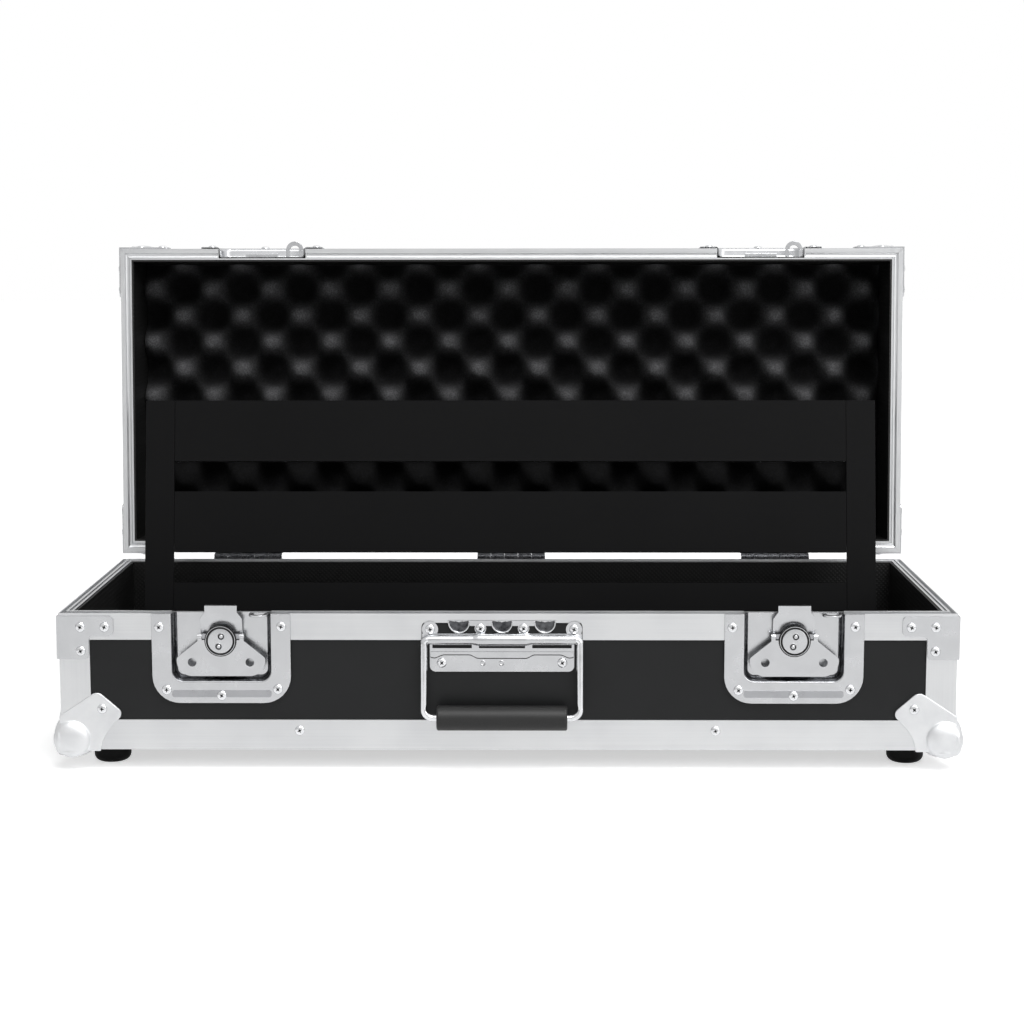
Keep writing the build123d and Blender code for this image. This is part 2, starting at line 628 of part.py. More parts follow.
def handle_bail():
    """Chromed wire bail: a closed loop of round wire with bent corners."""
    y = FRONT - PIVOT_OUT
    wire = FilletPolyline((-BAIL_HALF, -BARREL_DROP), (-BAIL_HALF, -GRIP_DROP), (BAIL_HALF, -GRIP_DROP),
                          (BAIL_HALF, -BARREL_DROP), close=True,
                          radius=(BAIL_TOP_BEND, BAIL_BEND, BAIL_BEND, BAIL_TOP_BEND))
    path = Pos(HANDLE_X, y, Z_PART) * (Plane.XZ * wire)
    start = Plane(path @ 0, z_dir=path % 0)
    return hung(sweep(start * Circle(BAIL_R), path))


def handle_grip():
    """Soft grip moulded round the lower rod of the bail."""
    y = FRONT - PIVOT_OUT
    z = Z_PART - GRIP_DROP
    grip = rod((HANDLE_X - GRIP_HALF, y, z), (HANDLE_X + GRIP_HALF, y, z), GRIP_R)
    grip = fillet(grip.edges(), GRIP_ROUND)
    return hung(grip - rod((HANDLE_X - BAIL_HALF, y, z), (HANDLE_X + BAIL_HALF, y, z), BAIL_R + PIN_PLAY))


SPRING_TURNS = 10
SPRING_WIRE = 0.9
SPRING_GAP = 0.45       # between turns


def handle_spring():
    """Torsion spring coiled on the pivot rod inside the barrel."""
    coil_r = BAIL_R + SPRING_WIRE / 2 + 0.3
    pitch = SPRING_WIRE + SPRING_GAP
    path = Helix(pitch, pitch * SPRING_TURNS, coil_r)
    start = Plane(path @ 0, z_dir=path % 0)
    coil = sweep(start * Circle(SPRING_WIRE / 2), path)
    start_x = HANDLE_X - pitch * SPRING_TURNS / 2
    return Pos(start_x, FRONT - PIVOT_OUT, Z_PART - BARREL_DROP) * Rot(0, 90, 0) * coil


def handle_sites():
    """Screws of the handle's back plate."""
    return [((HANDLE_X + dx, FRONT, Z_PART - drop), (0, -1, 0)) for dx, drop in EAR_SCREWS]


# ---------------------------------------------------------------- stop hinges
HINGE_HALF = 29.8
LEAF_H = 19.0
KNUCKLE_R = 4.0
PIN_R = 2.4
HINGE_AT = (-HINGE_X, 0.0, HINGE_X)
KNUCKLES = 5
KNUCKLE_GAP = 0.15
STRAP_Z = (0.8, 2.4)    # strap from a knuckle to its leaf, from the parting plane
HINGE_SCREWS = ((-23.0, 9.5), (-12.0, 15.0), (12.0, 15.0), (23.0, 9.5))


def knuckle_span(index):
    """X range of one knuckle of a hinge."""
    pitch = 2 * HINGE_HALF / KNUCKLES
    return -HINGE_HALF + index * pitch + KNUCKLE_GAP, -HINGE_HALF + (index + 1) * pitch - KNUCKLE_GAP


def hinge_leaf(side):
    """Leaf with its knuckles at X = 0: even ones belong to the base, odd ones to the lid."""
    first = 0 if side < 0 else 1
    clear = KNUCKLE_R + 0.6
    leaf = slab((-HINGE_HALF, HINGE_HALF), (BACK, BACK + SHEET), level(side, clear, clear + LEAF_H))
    for index in range(first, KNUCKLES, 2):
        x0, x1 = knuckle_span(index)
        roll = rod((x0, HINGE_Y, HINGE_Z), (x1, HINGE_Y, HINGE_Z), KNUCKLE_R)
        strap = slab((x0, x1), (BACK + 0.1, BACK + SHEET), level(side, STRAP_Z[0], clear + 1))
        leaf += roll + strap + slab((x0, x1), (BACK + 0.1, HINGE_Y), level(side, *STRAP_Z))
    return leaf - rod((-FAR, HINGE_Y, HINGE_Z), (FAR, HINGE_Y, HINGE_Z), PIN_R + PIN_PLAY)


STOP_ARM = (            # side outline of a stop: from the back face, from the parting plane
    (1.3, -20.0), (18.0, -4.0), (18.0, 2.8), (13.0, 3.1), (11.0, -3.6), (1.3, -8.0))


def stop_arm():
    """Arm of the base leaf that the open lid leaf lies on."""
    x0, x1 = knuckle_span(KNUCKLES // 2)
    return plate_x(Pos(BACK, Z_PART) * outline(*STOP_ARM), x0 + 1, x1 - 1)


def hinges(side):
    """The three leaves of one half of the case."""
    leaf = hinge_leaf(side)
    if side < 0:
        leaf += stop_arm()
    return [Pos(x, 0, 0) * leaf for x in HINGE_AT]


def hinge_pins():
    """The three hinge pins with a rolled head each."""
    return [Pos(x, 0, 0) * rod((-HINGE_HALF, HINGE_Y, HINGE_Z), (HINGE_HALF, HINGE_Y, HINGE_Z), PIN_R)
            for x in HINGE_AT]


def hinge_sites(side):
    """Screws of the hinge leaves."""
    return [((x + dx, BACK + SHEET, Z_PART + side * (drop + 4)), (0, 1, 0))
            for x in HINGE_AT for dx, drop in HINGE_SCREWS]


# ---------------------------------------------------------------- foam
FOAM_T = 29.0           # floor foam under the board
FOAM_STEP = 42.5        # thicker front step that the board's edge leans on
STEP_BACK = 20.0        # y of the step's rear edge
LID_FOAM_T = 24.0       # egg-crate foam in the lid, base layer and peaks
SKIN = 0.6              # air round soft pads
PAD_IN = RIM_T + LINING_T + SKIN


def floor_foam():
    """Stepped foam pad on the floor: a low bed at the back and a high step at the front."""
    floor = Z_LOW + WALL
    front, back = FRONT + PAD_IN, BACK - PAD_IN
    section = outline((front, floor), (back, floor), (back, floor + FOAM_T), (STEP_BACK, floor + FOAM_T),
                      (STEP_BACK, floor + FOAM_STEP), (front, floor + FOAM_STEP))
    return plate_x(section, -HALF_W + PAD_IN, HALF_W - PAD_IN)


def lid_foam():
    """Foam in the lid, up to the tips of its peaks."""
    top = Z_TOP - WALL
    return slab((-HALF_W + PAD_IN, HALF_W - PAD_IN), (FRONT + PAD_IN, BACK - PAD_IN), (top - LID_FOAM_T, top))


# ---------------------------------------------------------------- pedal board
BOARD_FOOT_Y = 22.5     # lower edge of the standing board's deck
BOARD_FOOT_Z = Z_LOW + 52.0
LEG_LONG = 71.0         # leg under the edge that stands in the case
LEG_SHORT = 41.0        # leg under the other edge
PAD_T = 5.0             # rubber feet of the board
POST = 24.0             # width of the end frames seen on the deck
RAIL = 50.8             # width of a rail
RAIL_T = 14.0
RAIL_WALL = 2.0
POST_T = 3.0
TAB_T = 2.0             # tabs of the rails, screwed under the posts
TAB_LONG = 10.0
TAB_IN = 6.0            # tab's distance from the rail's edges
WEB_T = 4.0
WEB = (                 # side outline of an end frame: up the deck, out of the deck
    (0, 0), (BOARD_D, 0), (BOARD_D, -LEG_SHORT), (BOARD_D - 26, -LEG_SHORT), (BOARD_D - 44, -26),
    (48, -30), (26, -LEG_LONG), (0, -LEG_LONG))
WEB_HOLE = (37.2, -26.4)    # round cable hole, on the axis of the board's fold
WEB_HOLE_R = 5.5
LEG_FOOT = 22.0         # square foot of a leg
LEG_FOOT_T = 3.0
PAD_AT = 13.0           # middle of a rubber foot from the edge of the deck
PAD_R = 9.0
TAB_SCREW_X = BOARD_W / 2 - POST + 6.0
TAB_SCREW_IN = 14.0     # from the rail's edges
TAB_SCREW_R = 1.6
TAB_SCREW_TOP = 0.6     # material left above the screw's tip
TAB_HEAD_R = 3.2
TAB_HEAD_H = 1.2


def standing(solid):
    """Places a piece drawn on the board's own plane: X along, Y up the deck, Z out of the deck."""
    return Pos(0, BOARD_FOOT_Y, BOARD_FOOT_Z) * Rot(90 - BOARD_LEAN, 0, 0) * solid


def board_rail(index):
    """One of the three channel rails, open behind."""
    low = index * (BOARD_D - RAIL) / 2
    half = BOARD_W / 2 - POST - 0.3
    rail = slab((-half, half), (low, low + RAIL), (-RAIL_T, 0))
    hollow = slab((-half - 1, half + 1), (low + RAIL_WALL, low + RAIL - RAIL_WALL), (-RAIL_T - 1, -RAIL_WALL))
    span = (low + TAB_IN, low + RAIL - TAB_IN)
    under = -POST_T - 0.1
    tabs = [slab(sorted((sx * half, sx * (half + TAB_LONG))), span, (under - TAB_T, under)) for sx in (-1, 1)]
    bridges = [slab(sorted((sx * half, sx * (half - TAB_IN))), span, (under - TAB_T, -RAIL_WALL))
               for sx in (-1, 1)]
    return rail - hollow + tabs + bridges


def board_end(sx):
    """Cast end frame: a deck post with a tapered leg web and two padded feet."""
    outer = BOARD_W / 2
    post = slab(sorted((sx * outer, sx * (outer - POST))), (0, BOARD_D), (-POST_T, 0))
    web = outline(*WEB) - Pos(*WEB_HOLE) * Circle(WEB_HOLE_R)
    web = plate_x(web, *sorted((sx * outer, sx * (outer - WEB_T))))
    wide = sorted((sx * outer, sx * (outer - LEG_FOOT)))
    soles = [slab(wide, (y, y + LEG_FOOT), (-leg, -leg + LEG_FOOT_T))
             for y, leg in ((2, LEG_LONG), (BOARD_D - LEG_FOOT - 2, LEG_SHORT))]
    return post + web + soles


def board_pads():
    """Rubber feet under the four legs of the board."""
    pads = []
    for sx in (-1, 1):
        for y, leg in ((PAD_AT, LEG_LONG), (BOARD_D - PAD_AT, LEG_SHORT)):
            x = sx * (BOARD_W / 2 - LEG_FOOT / 2 - 0.5)
            pads.append(rod((x, y, -leg - PAD_T), (x, y, -leg), PAD_R))
    return pads


def tab_screw_spots():
    """Places of the screws under the posts, on the board's own plane."""
    return [(sx * TAB_SCREW_X, index * (BOARD_D - RAIL) / 2 + dy)
            for sx in (-1, 1) for index in range(3) for dy in (TAB_SCREW_IN, RAIL - TAB_SCREW_IN)]


def board_screws():
    """Screws from behind that hold the rails' tabs under the posts."""
    screws = []
    seat = -POST_T - 0.1 - TAB_T
    for x, y in tab_screw_spots():
        head = rod((x, y, seat - TAB_HEAD_H), (x, y, seat), TAB_HEAD_R)
        screws.append(head + rod((x, y, seat - 0.5), (x, y, -TAB_SCREW_TOP - 0.2), TAB_SCREW_R))
    return screws


def board_bores():
    """Blind holes for those screws."""
    return [rod((x, y, -RAIL_T), (x, y, -TAB_SCREW_TOP), TAB_SCREW_R + PIN_PLAY)
            for x, y in tab_screw_spots()]


# ---------------------------------------------------------------- assembly
def solids(shape):
    """Every solid of a shape, or of a list of shapes."""
    if isinstance(shape, (list, tuple)):
        return [solid for item in shape for solid in solids(item)]
    return shape.solids()


def cut(shape, tools):
    """Cuts holes in one shape or in each shape of a list."""
    if isinstance(shape, (list, tuple)):
        return [cut(item, tools) for item in shape]
    return shape - tools


def write(name, shape):
    """Writes one node as a STEP file."""
    export_step(Compound(children=solids(shape)), f"parts/{name}.step")


def build_base():
    """Nodes of the base."""
    sites = brace_sites(-1) + ball_sites(-1, BASE_H) + edge_sites(-1, BASE_H)
    sites += dish_sites(-1) + handle_sites() + hinge_sites(-1)
    holes = bores(sites)
    nodes = {
        "base_floor_panel": cut(flat_panel(-1, BASE_H), foot_bores()),
        "base_front_panel": cut(long_panel(-1, BASE_H, -1), dish_cut(-1) + holes),
        "base_back_panel": cut(long_panel(-1, BASE_H, 1), holes),
        "base_left_panel": cut(short_panel(-1, BASE_H, -1), holes),
        "base_right_panel": cut(short_panel(-1, BASE_H, 1), holes),
        "base_bottom_angles": cut(edge_angles(-1, BASE_H), holes + foot_bores()),
        "base_corner_angles": cut(corner_angles(-1, BASE_H), holes),
        "base_rim": cut(rim(-1), dish_cut(-1) + holes + [handle_notch()]),
        "base_corner_braces": cut(corner_braces(-1), holes),
        "base_ball_corners": cut(ball_corners(-1, BASE_H), holes),
        "base_screws": [screw(site) for site in sites],
        "base_wall_lining": wall_lining(-1, BASE_H),
        "rubber_feet": feet(),
        "foot_screws": foot_screws(),
        "floor_foam": floor_foam(),
        "handle_plate": cut(handle_plate(), holes),
        "handle_barrel": handle_barrel(),
        "handle_spring": handle_spring(),
        "hinge_base_leaves": cut(hinges(-1), holes),
        "hinge_pins": hinge_pins(),
    }
    dish = latch_dish(-1)
    for name, x in (("left", -LATCH_X), ("right", LATCH_X)):
        nodes[f"{name}_latch_dish"] = cut(Pos(x, 0, 0) * dish, holes)
    return nodes


def build_lid():
    """Nodes of the lid, closed."""
    sites = brace_sites(1) + ball_sites(1, LID_H) + edge_sites(1, LID_H) + dish_sites(1) + hinge_sites(1)
    holes = bores(sites)
    nodes = {
        "lid_top_panel": flat_panel(1, LID_H),
        "lid_front_panel": cut(long_panel(1, LID_H, -1), dish_cut(1) + holes),
        "lid_back_panel": cut(long_panel(1, LID_H, 1), holes),
        "lid_left_panel": cut(short_panel(1, LID_H, -1), holes),
        "lid_right_panel": cut(short_panel(1, LID_H, 1), holes),
        "lid_top_angles": cut(edge_angles(1, LID_H), holes),
        "lid_corner_angles": cut(corner_angles(1, LID_H), holes),
        "lid_rim": cut(rim(1), dish_cut(1) + holes),
        "lid_corner_braces": cut(corner_braces(1), holes),
        "lid_ball_corners": cut(ball_corners(1, LID_H), holes),
        "lid_screws": [screw(site) for site in sites],
        "lid_wall_lining": wall_lining(1, LID_H),
        "lid_foam": lid_foam(),
        "hinge_lid_leaves": cut(hinges(1), holes),
    }
    dish = latch_dish(1)
    for name, x in (("left", -LATCH_X), ("right", LATCH_X)):
        nodes[f"{name}_lid_dish"] = cut(Pos(x, 0, 0) * dish, holes)
    return nodes


def build_moving():
    """Nodes of the latches and the handle that move."""
    nodes = {"handle_bail": handle_bail(), "handle_grip": handle_grip()}
    tongue, hub, wing = latch_tongue(), latch_hub(), latch_wing()
    for name, x in (("left", -LATCH_X), ("right", LATCH_X)):
        nodes[f"{name}_latch_tongue"] = Pos(x, 0, 0) * tongue
        nodes[f"{name}_latch_hub"] = Pos(x, 0, 0) * hub
        nodes[f"{name}_latch_wing"] = Pos(x, 0, 0) * wing
    return nodes


def build_board():
    """Nodes of the pedal board, drawn flat on its own plane."""
    nodes = {f"board_rail_{index + 1}": cut(board_rail(index), board_bores()) for index in range(3)}
    nodes["board_left_end"] = cut(board_end(-1), board_bores())
    nodes["board_right_end"] = cut(board_end(1), board_bores())
    nodes["board_pads"] = board_pads()
    nodes["board_screws"] = board_screws()
    return nodes


os.makedirs("parts", exist_ok=True)
for node, shape in {**build_base(), **build_moving()}.items():
    write(node, shape)
for node, shape in build_lid().items():
    write(node, [opened(solid) for solid in solids(shape)])
for node, shape in build_board().items():
    write(node, [standing(solid) for solid in solids(shape)])
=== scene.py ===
"""Looks of the guitar pedal case: finishes, pressed fittings, foam, camera and studio light.

The case stands open with the pedal board leaning in its base. Metres, Z up, front towards -Y.
Shapes are drawn in millimetres and brought to metres when a piece is finished. Pieces of the lid are drawn
as on the closed lid and then turned open.
"""

import math

import bmesh
import bpy
from mathutils import Matrix, Vector


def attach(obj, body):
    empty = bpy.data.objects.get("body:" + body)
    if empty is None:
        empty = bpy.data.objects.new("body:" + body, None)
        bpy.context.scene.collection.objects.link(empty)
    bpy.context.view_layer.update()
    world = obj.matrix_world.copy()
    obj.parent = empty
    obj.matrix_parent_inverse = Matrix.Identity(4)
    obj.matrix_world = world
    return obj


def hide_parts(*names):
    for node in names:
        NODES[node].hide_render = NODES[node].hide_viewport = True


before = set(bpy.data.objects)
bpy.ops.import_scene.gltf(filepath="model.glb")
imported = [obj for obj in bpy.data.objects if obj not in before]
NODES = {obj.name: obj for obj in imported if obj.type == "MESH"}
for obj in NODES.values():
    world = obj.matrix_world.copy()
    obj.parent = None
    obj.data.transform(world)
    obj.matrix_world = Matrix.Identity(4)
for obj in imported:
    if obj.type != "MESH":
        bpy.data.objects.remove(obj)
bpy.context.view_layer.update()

MM = 0.001
HALF_W = 342.0          # outer half width of the case
HALF_D = 133.0          # outer half depth
FRONT = -HALF_D
Z_LOW = 17.0            # bottom of the base, over the feet
Z_PART = 123.0          # parting plane
Z_TOP = 201.0           # top of the closed lid
HINGE_AT = Vector((0, 138.0, 123.5))
LID_OPEN = math.radians(94)
LATCH_X = 218.0
HANDLE_X = -4.0
SHEET = 1.5             # sheet metal on the panels
FLANGE_Y = FRONT - SHEET
ANGLE_LEG = 23.3        # leg of the edge angles
DRAWN_LINE = (260, 1.3)     # length and width of the drawn lines on the extrusions
TURNED, TURNED_SMALL = 40, 20   # steps round a turned shape


# ---------------------------------------------------------------- nodes
NOISE = "ShaderNodeTexNoise"
VORONOI = "ShaderNodeTexVoronoi"
MAPPING = "ShaderNodeMapping"
PLACE = "ShaderNodeTexCoord"
RAMP = "ShaderNodeValToRGB"
BUMP = "ShaderNodeBump"
MATH = "ShaderNodeMath"
MIX = "ShaderNodeMix"
RANGE = "ShaderNodeMapRange"
SPLIT = "ShaderNodeSeparateXYZ"


def linear(code):
    """sRGB hex value as a linear colour."""
    parts = [int(code[i:i + 2], 16) / 255 for i in (1, 3, 5)]
    return [p / 12.92 if p <= 0.04045 else ((p + 0.055) / 1.055) ** 2.4 for p in parts] + [1.0]


def fill(tree, node, ins):
    """Gives a node's sockets their values or links."""
    for key, value in ins.items():
        if isinstance(value, bpy.types.NodeSocket):
            tree.links.new(value, node.inputs[key])
        else:
            node.inputs[key].default_value = value


def add(tree, kind, out=None, ins=None, stops=(), **settings):
    """Adds a node and gives it, or one of its outputs. ins are its sockets' values or links, stops the places
    of a colour ramp with a grey or a hex value."""
    node = tree.nodes.new(kind)
    for key, value in settings.items():
        setattr(node, key, value)
    fill(tree, node, ins or {})
    for element, (place, value) in zip(node.color_ramp.elements if stops else (), stops):
        element.position = place
        element.color = linear(value) if isinstance(value, str) else (value, value, value, 1)
    return node if out is None else node.outputs[out]


def per(*sizes):
    """Scale at which one unit is so many millimetres long: one size, or one for each axis."""
    scale = [1 / (size * MM) for size in sizes]
    return scale if len(scale) > 1 else scale[0]


# ---------------------------------------------------------------- materials
def new_surface(name):
    """New material, its nodes and the object's own coordinates."""
    mat = bpy.data.materials.new(name)
    mat.use_nodes = True
    return mat, mat.node_tree, add(mat.node_tree, PLACE, "Object")


def finished(mat, ins):
    """The material with its Principled shader filled in."""
    fill(mat.node_tree, mat.node_tree.nodes["Principled BSDF"], ins)
    return mat


def black_laminate():
    """Phenolic laminate on plywood, pressed with a fine pebble: soft broad sheen on near black."""
    mat, tree, place = new_surface("black_phenolic_laminate")
    pebble = add(tree, NOISE, "Fac", {"Vector": place, "Scale": per(1.6), "Detail": 3.0, "Roughness": 0.6})
    cloud = add(tree, NOISE, "Fac", {"Vector": place, "Scale": per(60)})
    return finished(mat, {
        "Base Color": add(tree, RAMP, "Color", {"Fac": cloud}, ((0.3, "#0f1011"), (0.7, "#151617"))),
        "Roughness": add(tree, RAMP, "Color", {"Fac": pebble}, ((0.35, 0.40), (0.65, 0.50))),
        "Normal": add(tree, BUMP, "Normal", {"Height": pebble, "Distance": 0.05 * MM, "Strength": 0.5}),
        "Specular IOR Level": 0.3})


def aluminium(name, side_axis):
    """Extruded aluminium, mill finish: faint drawn lines along each bar. side_axis is the end bars' direction."""
    mat, tree, place = new_surface(name)
    lines = []
    for bar_axis in (0, side_axis):
        sizes = [DRAWN_LINE[0] if axis == bar_axis else DRAWN_LINE[1] for axis in range(3)]
        drawn = add(tree, MAPPING, "Vector", {"Vector": place, "Scale": per(*sizes)})
        lines.append(add(tree, NOISE, "Fac", {"Vector": drawn, "Scale": 1.0, "Detail": 3.0, "Roughness": 0.65}))
    width = add(tree, MATH, 0, {0: add(tree, SPLIT, "X", {"Vector": place})}, operation="ABSOLUTE")
    is_side = add(tree, MATH, 0, {0: width, 1: (HALF_W - ANGLE_LEG) * MM}, operation="GREATER_THAN")
    lines = add(tree, MIX, 0, {"Factor": is_side, 2: lines[0], 3: lines[1]}, data_type="FLOAT")
    cloud = add(tree, NOISE, "Fac", {"Vector": place, "Scale": per(45)})
    tone = add(tree, MATH, 0, {0: lines, 1: 0.7, 2: cloud}, operation="MULTIPLY_ADD")
    return finished(mat, {
        "Base Color": add(tree, RAMP, "Color", {"Fac": tone}, ((0.5, "#cfd0d2"), (1.0, "#dadbdc"))),
        "Roughness": add(tree, RAMP, "Color", {"Fac": lines}, ((0.3, 0.30), (0.7, 0.40))),
        "Normal": add(tree, BUMP, "Normal", {"Height": lines, "Distance": 0.02 * MM, "Strength": 0.3}),
        "Metallic": 1.0})


def plated_steel(name, dark, light, rough):
    """Stamped steel, zinc plated: smooth, a little cloudy, with soft reflections."""
    mat, tree, place = new_surface(name)
    cloud = add(tree, NOISE, "Fac", {"Vector": place, "Scale": per(14), "Detail": 4.0, "Roughness": 0.6})
    fine = add(tree, NOISE, "Fac", {"Vector": place, "Scale": per(1.5)})
    return finished(mat, {
        "Base Color": add(tree, RAMP, "Color", {"Fac": cloud}, ((0.3, dark), (0.7, light))),
        "Roughness": add(tree, RAMP, "Color", {"Fac": cloud}, ((0.3, rough - 0.05), (0.75, rough + 0.05))),
        "Normal": add(tree, BUMP, "Normal", {"Height": fine, "Distance": 0.012 * MM, "Strength": 0.3}),
        "Metallic": 1.0})


def shaded_plating():
    """Plated steel painted darker and duller: painted shade and painted dark reflections for deep pocket walls, cup
    insides and hinges, with fine draw marks.
    """
    mat, tree, place = new_surface("painted_shade_plating")
    drawn = add(tree, MAPPING, "Vector", {"Vector": place, "Scale": per(4, 1.2, 4)})
    marks = add(tree, NOISE, "Fac", {"Vector": drawn, "Scale": 1.0, "Detail": 3.0, "Roughness": 0.6})
    return finished(mat, {
        "Base Color": add(tree, RAMP, "Color", {"Fac": marks}, ((0.3, "#333437"), (0.7, "#6a6b6e"))),
        "Roughness": add(tree, RAMP, "Color", {"Fac": marks}, ((0.3, 0.22), (0.7, 0.36))),
        "Metallic": 1.0})


def chromed_steel():
    """Drawn steel wire and rolled parts, chromed: mirror-like with faint drawing marks."""
    mat, tree, place = new_surface("chromed_steel")
    marks = add(tree, NOISE, "Fac", {"Vector": place, "Scale": per(8), "Detail": 3.0})
    return finished(mat, {
        "Base Color": add(tree, RAMP, "Color", {"Fac": marks}, ((0.3, "#dedfe1"), (0.7, "#ebecee"))),
        "Roughness": add(tree, RAMP, "Color", {"Fac": marks}, ((0.3, 0.06), (0.7, 0.13))),
        "Metallic": 1.0})


def spring_steel():
    """Patented spring wire, oiled: darker grey metal."""
    mat, tree, place = new_surface("oiled_spring_steel")
    marks = add(tree, NOISE, "Fac", {"Vector": place, "Scale": per(3), "Detail": 3.0})
    return finished(mat, {
        "Base Color": add(tree, RAMP, "Color", {"Fac": marks}, ((0.3, "#77787b"), (0.7, "#96979a"))),
        "Roughness": 0.32, "Metallic": 1.0})


def moulded_rubber(name, dark, light, rough, shine):
    """Compression moulded rubber: matt with a dusty speckle."""
    mat, tree, place = new_surface(name)
    speck = add(tree, NOISE, "Fac", {"Vector": place, "Scale": per(0.9), "Detail": 3.0, "Roughness": 0.7})
    return finished(mat, {
        "Base Color": add(tree, RAMP, "Color", {"Fac": speck}, ((0.35, dark), (0.7, light))),
        "Normal": add(tree, BUMP, "Normal", {"Height": speck, "Distance": 0.05 * MM, "Strength": 0.5}),
        "Roughness": rough, "Specular IOR Level": shine})


def lining_fabric():
    """Thin dotted vinyl-backed lining: small raised dots in diagonal rows, 2.6 mm apart."""
    mat, tree, place = new_surface("dotted_lining")
    turned = add(tree, MAPPING, "Vector", {"Vector": place, "Rotation": (0.0, math.radians(45), 0.0)})
    dots = add(tree, VORONOI, "Distance", {"Vector": turned, "Scale": per(2.6), "Randomness": 0.0})
    raised = add(tree, RAMP, "Color", {"Fac": dots}, ((0.15, 1.0), (0.45, 0.0)))
    return finished(mat, {
        "Base Color": add(tree, RAMP, "Color", {"Fac": dots}, ((0.2, "#1d1d1d"), (0.5, "#070707"))),
        "Normal": add(tree, BUMP, "Normal", {"Height": raised, "Distance": 0.3 * MM, "Strength": 0.6}),
        "Roughness": 0.5, "Specular IOR Level": 0.45})


def open_foam():
    """Open-cell polyurethane foam, charcoal: dead matt with fine pores, with a painted highlight: a paler colour
    painted on the peaks' caps where light falls.
    """
    mat, tree, place = new_surface("open_cell_foam")
    pores = add(tree, VORONOI, "Distance", {"Vector": place, "Scale": per(1.5)})
    cloud = add(tree, NOISE, "Fac", {"Vector": place, "Scale": per(9), "Detail": 3.0})
    tone = add(tree, MATH, 0, {0: pores, 1: cloud}, operation="MULTIPLY")
    # painted highlight: a paler colour mixed in where the egg crate marks a peak's cap, standing in for the light on
    # it
    painted_cap_light = add(tree, "ShaderNodeAttribute", "Fac", attribute_name="painted_cap_light")
    fresh = add(tree, RAMP, "Color", {"Fac": tone}, ((0.05, "#0c0c0c"), (0.45, "#161617")))
    painted_lit_caps = add(tree, RAMP, "Color", {"Fac": tone}, ((0.05, "#474748"), (0.45, "#656567")))
    return finished(mat, {
        "Base Color": add(tree, MIX, 2, {"Factor": painted_cap_light, 6: fresh, 7: painted_lit_caps}, data_type="RGBA"),
        "Normal": add(tree, BUMP, "Normal", {"Height": pores, "Distance": 0.4 * MM, "Strength": 0.35}),
        "Roughness": 1.0, "Specular IOR Level": 0.1})


def powder_coat():
    """Powder-coated aluminium: satin black with a very fine orange peel."""
    mat, tree, place = new_surface("black_powder_coat")
    peel = add(tree, NOISE, "Fac", {"Vector": place, "Scale": per(1.8)})
    cloud = add(tree, NOISE, "Fac", {"Vector": place, "Scale": per(80)})
    return finished(mat, {
        "Base Color": add(tree, RAMP, "Color", {"Fac": cloud}, ((0.3, "#070708"), (0.7, "#0a0a0b"))),
        "Roughness": add(tree, RAMP, "Color", {"Fac": peel}, ((0.3, 0.36), (0.7, 0.46))),
        "Normal": add(tree, BUMP, "Normal", {"Height": peel, "Distance": 0.04 * MM, "Strength": 0.3}),
        "Specular IOR Level": 0.12})


def oxide_and_shade():
    """Black oxide on small screws: dark with a low metal gleam. Also painted shade: screw recesses, hub groove and
    gap, rivet grooves, the flap's shadow plate and dimple bottoms.
    """
    mat, tree, place = new_surface("black_oxide_and_painted_shade")
    marks = add(tree, NOISE, "Fac", {"Vector": place, "Scale": per(2)})
    return finished(mat, {
        "Base Color": add(tree, RAMP, "Color", {"Fac": marks}, ((0.3, "#141414"), (0.7, "#222222"))),
        "Roughness": 0.35, "Metallic": 0.6})


LAMINATE = black_laminate()
EDGE_LEVEL = aluminium("drawn_aluminium_level", 1)
EDGE_UPRIGHT = aluminium("drawn_aluminium_upright", 2)
PLATED = plated_steel("zinc_plated_steel", "#c4c5c7", "#cfd0d2", 0.25)
SATIN = plated_steel("satin_plated_steel", "#d9dadc", "#e2e3e4", 0.46)
ROLLED = plated_steel("rolled_plated_steel", "#a4a5a8", "#b0b1b4", 0.3)
SHADED_PLATING = shaded_plating()
CHROME = chromed_steel()
SPRING = spring_steel()
RUBBER = moulded_rubber("black_foot_rubber", "#060606", "#0c0c0c", 0.55, 0.12)
GRIP = moulded_rubber("grip_rubber", "#1b1b1b", "#272727", 0.48, 0.4)
LINING = lining_fabric()
FOAM = open_foam()
COAT = powder_coat()
OXIDE_AND_SHADE = oxide_and_shade()

# the first word that a CAD node's name holds gives its finish
FINISHES = (
    ("ball_corners", SATIN), ("corner_braces", PLATED), ("dish", PLATED), ("latch_wing", PLATED),
    ("latch_tongue", PLATED), ("latch_hub", ROLLED), ("board_screws", OXIDE_AND_SHADE), ("screws", CHROME),
    ("spring", SPRING), ("bail", CHROME), ("barrel", PLATED), ("handle_plate", PLATED), ("grip", GRIP),
    ("feet", RUBBER), ("pads", RUBBER), ("lining", LINING), ("foam", FOAM), ("board_", COAT),
    # hinge leaves take the darker plating: painted shade in the gap between lid and base
    ("hinge_pins", CHROME), ("hinge", SHADED_PLATING), ("panel", LAMINATE), ("base_corner_angles", EDGE_UPRIGHT),
    ("lid_corner_angles", EDGE_LEVEL), ("lid_", EDGE_UPRIGHT), ("base_", EDGE_LEVEL),
)
# edge rounding in millimetres of bars and panels, and of sheet and small parts
BARS = 0.5, ("rim", "angles", "panel", "brace", "board_rail", "board_left", "board_right")
SHEETS = 0.3, ("dish", "wing", "tongue", "hub", "handle_plate", "barrel", "leaves")
SHARP_BEND = 32         # degrees past which a bend is shaded sharp
EDGE_BEND = 40          # degrees past which an edge is rounded
FLAT_BEND = 0.6         # degrees up to which neighbouring faces count as one


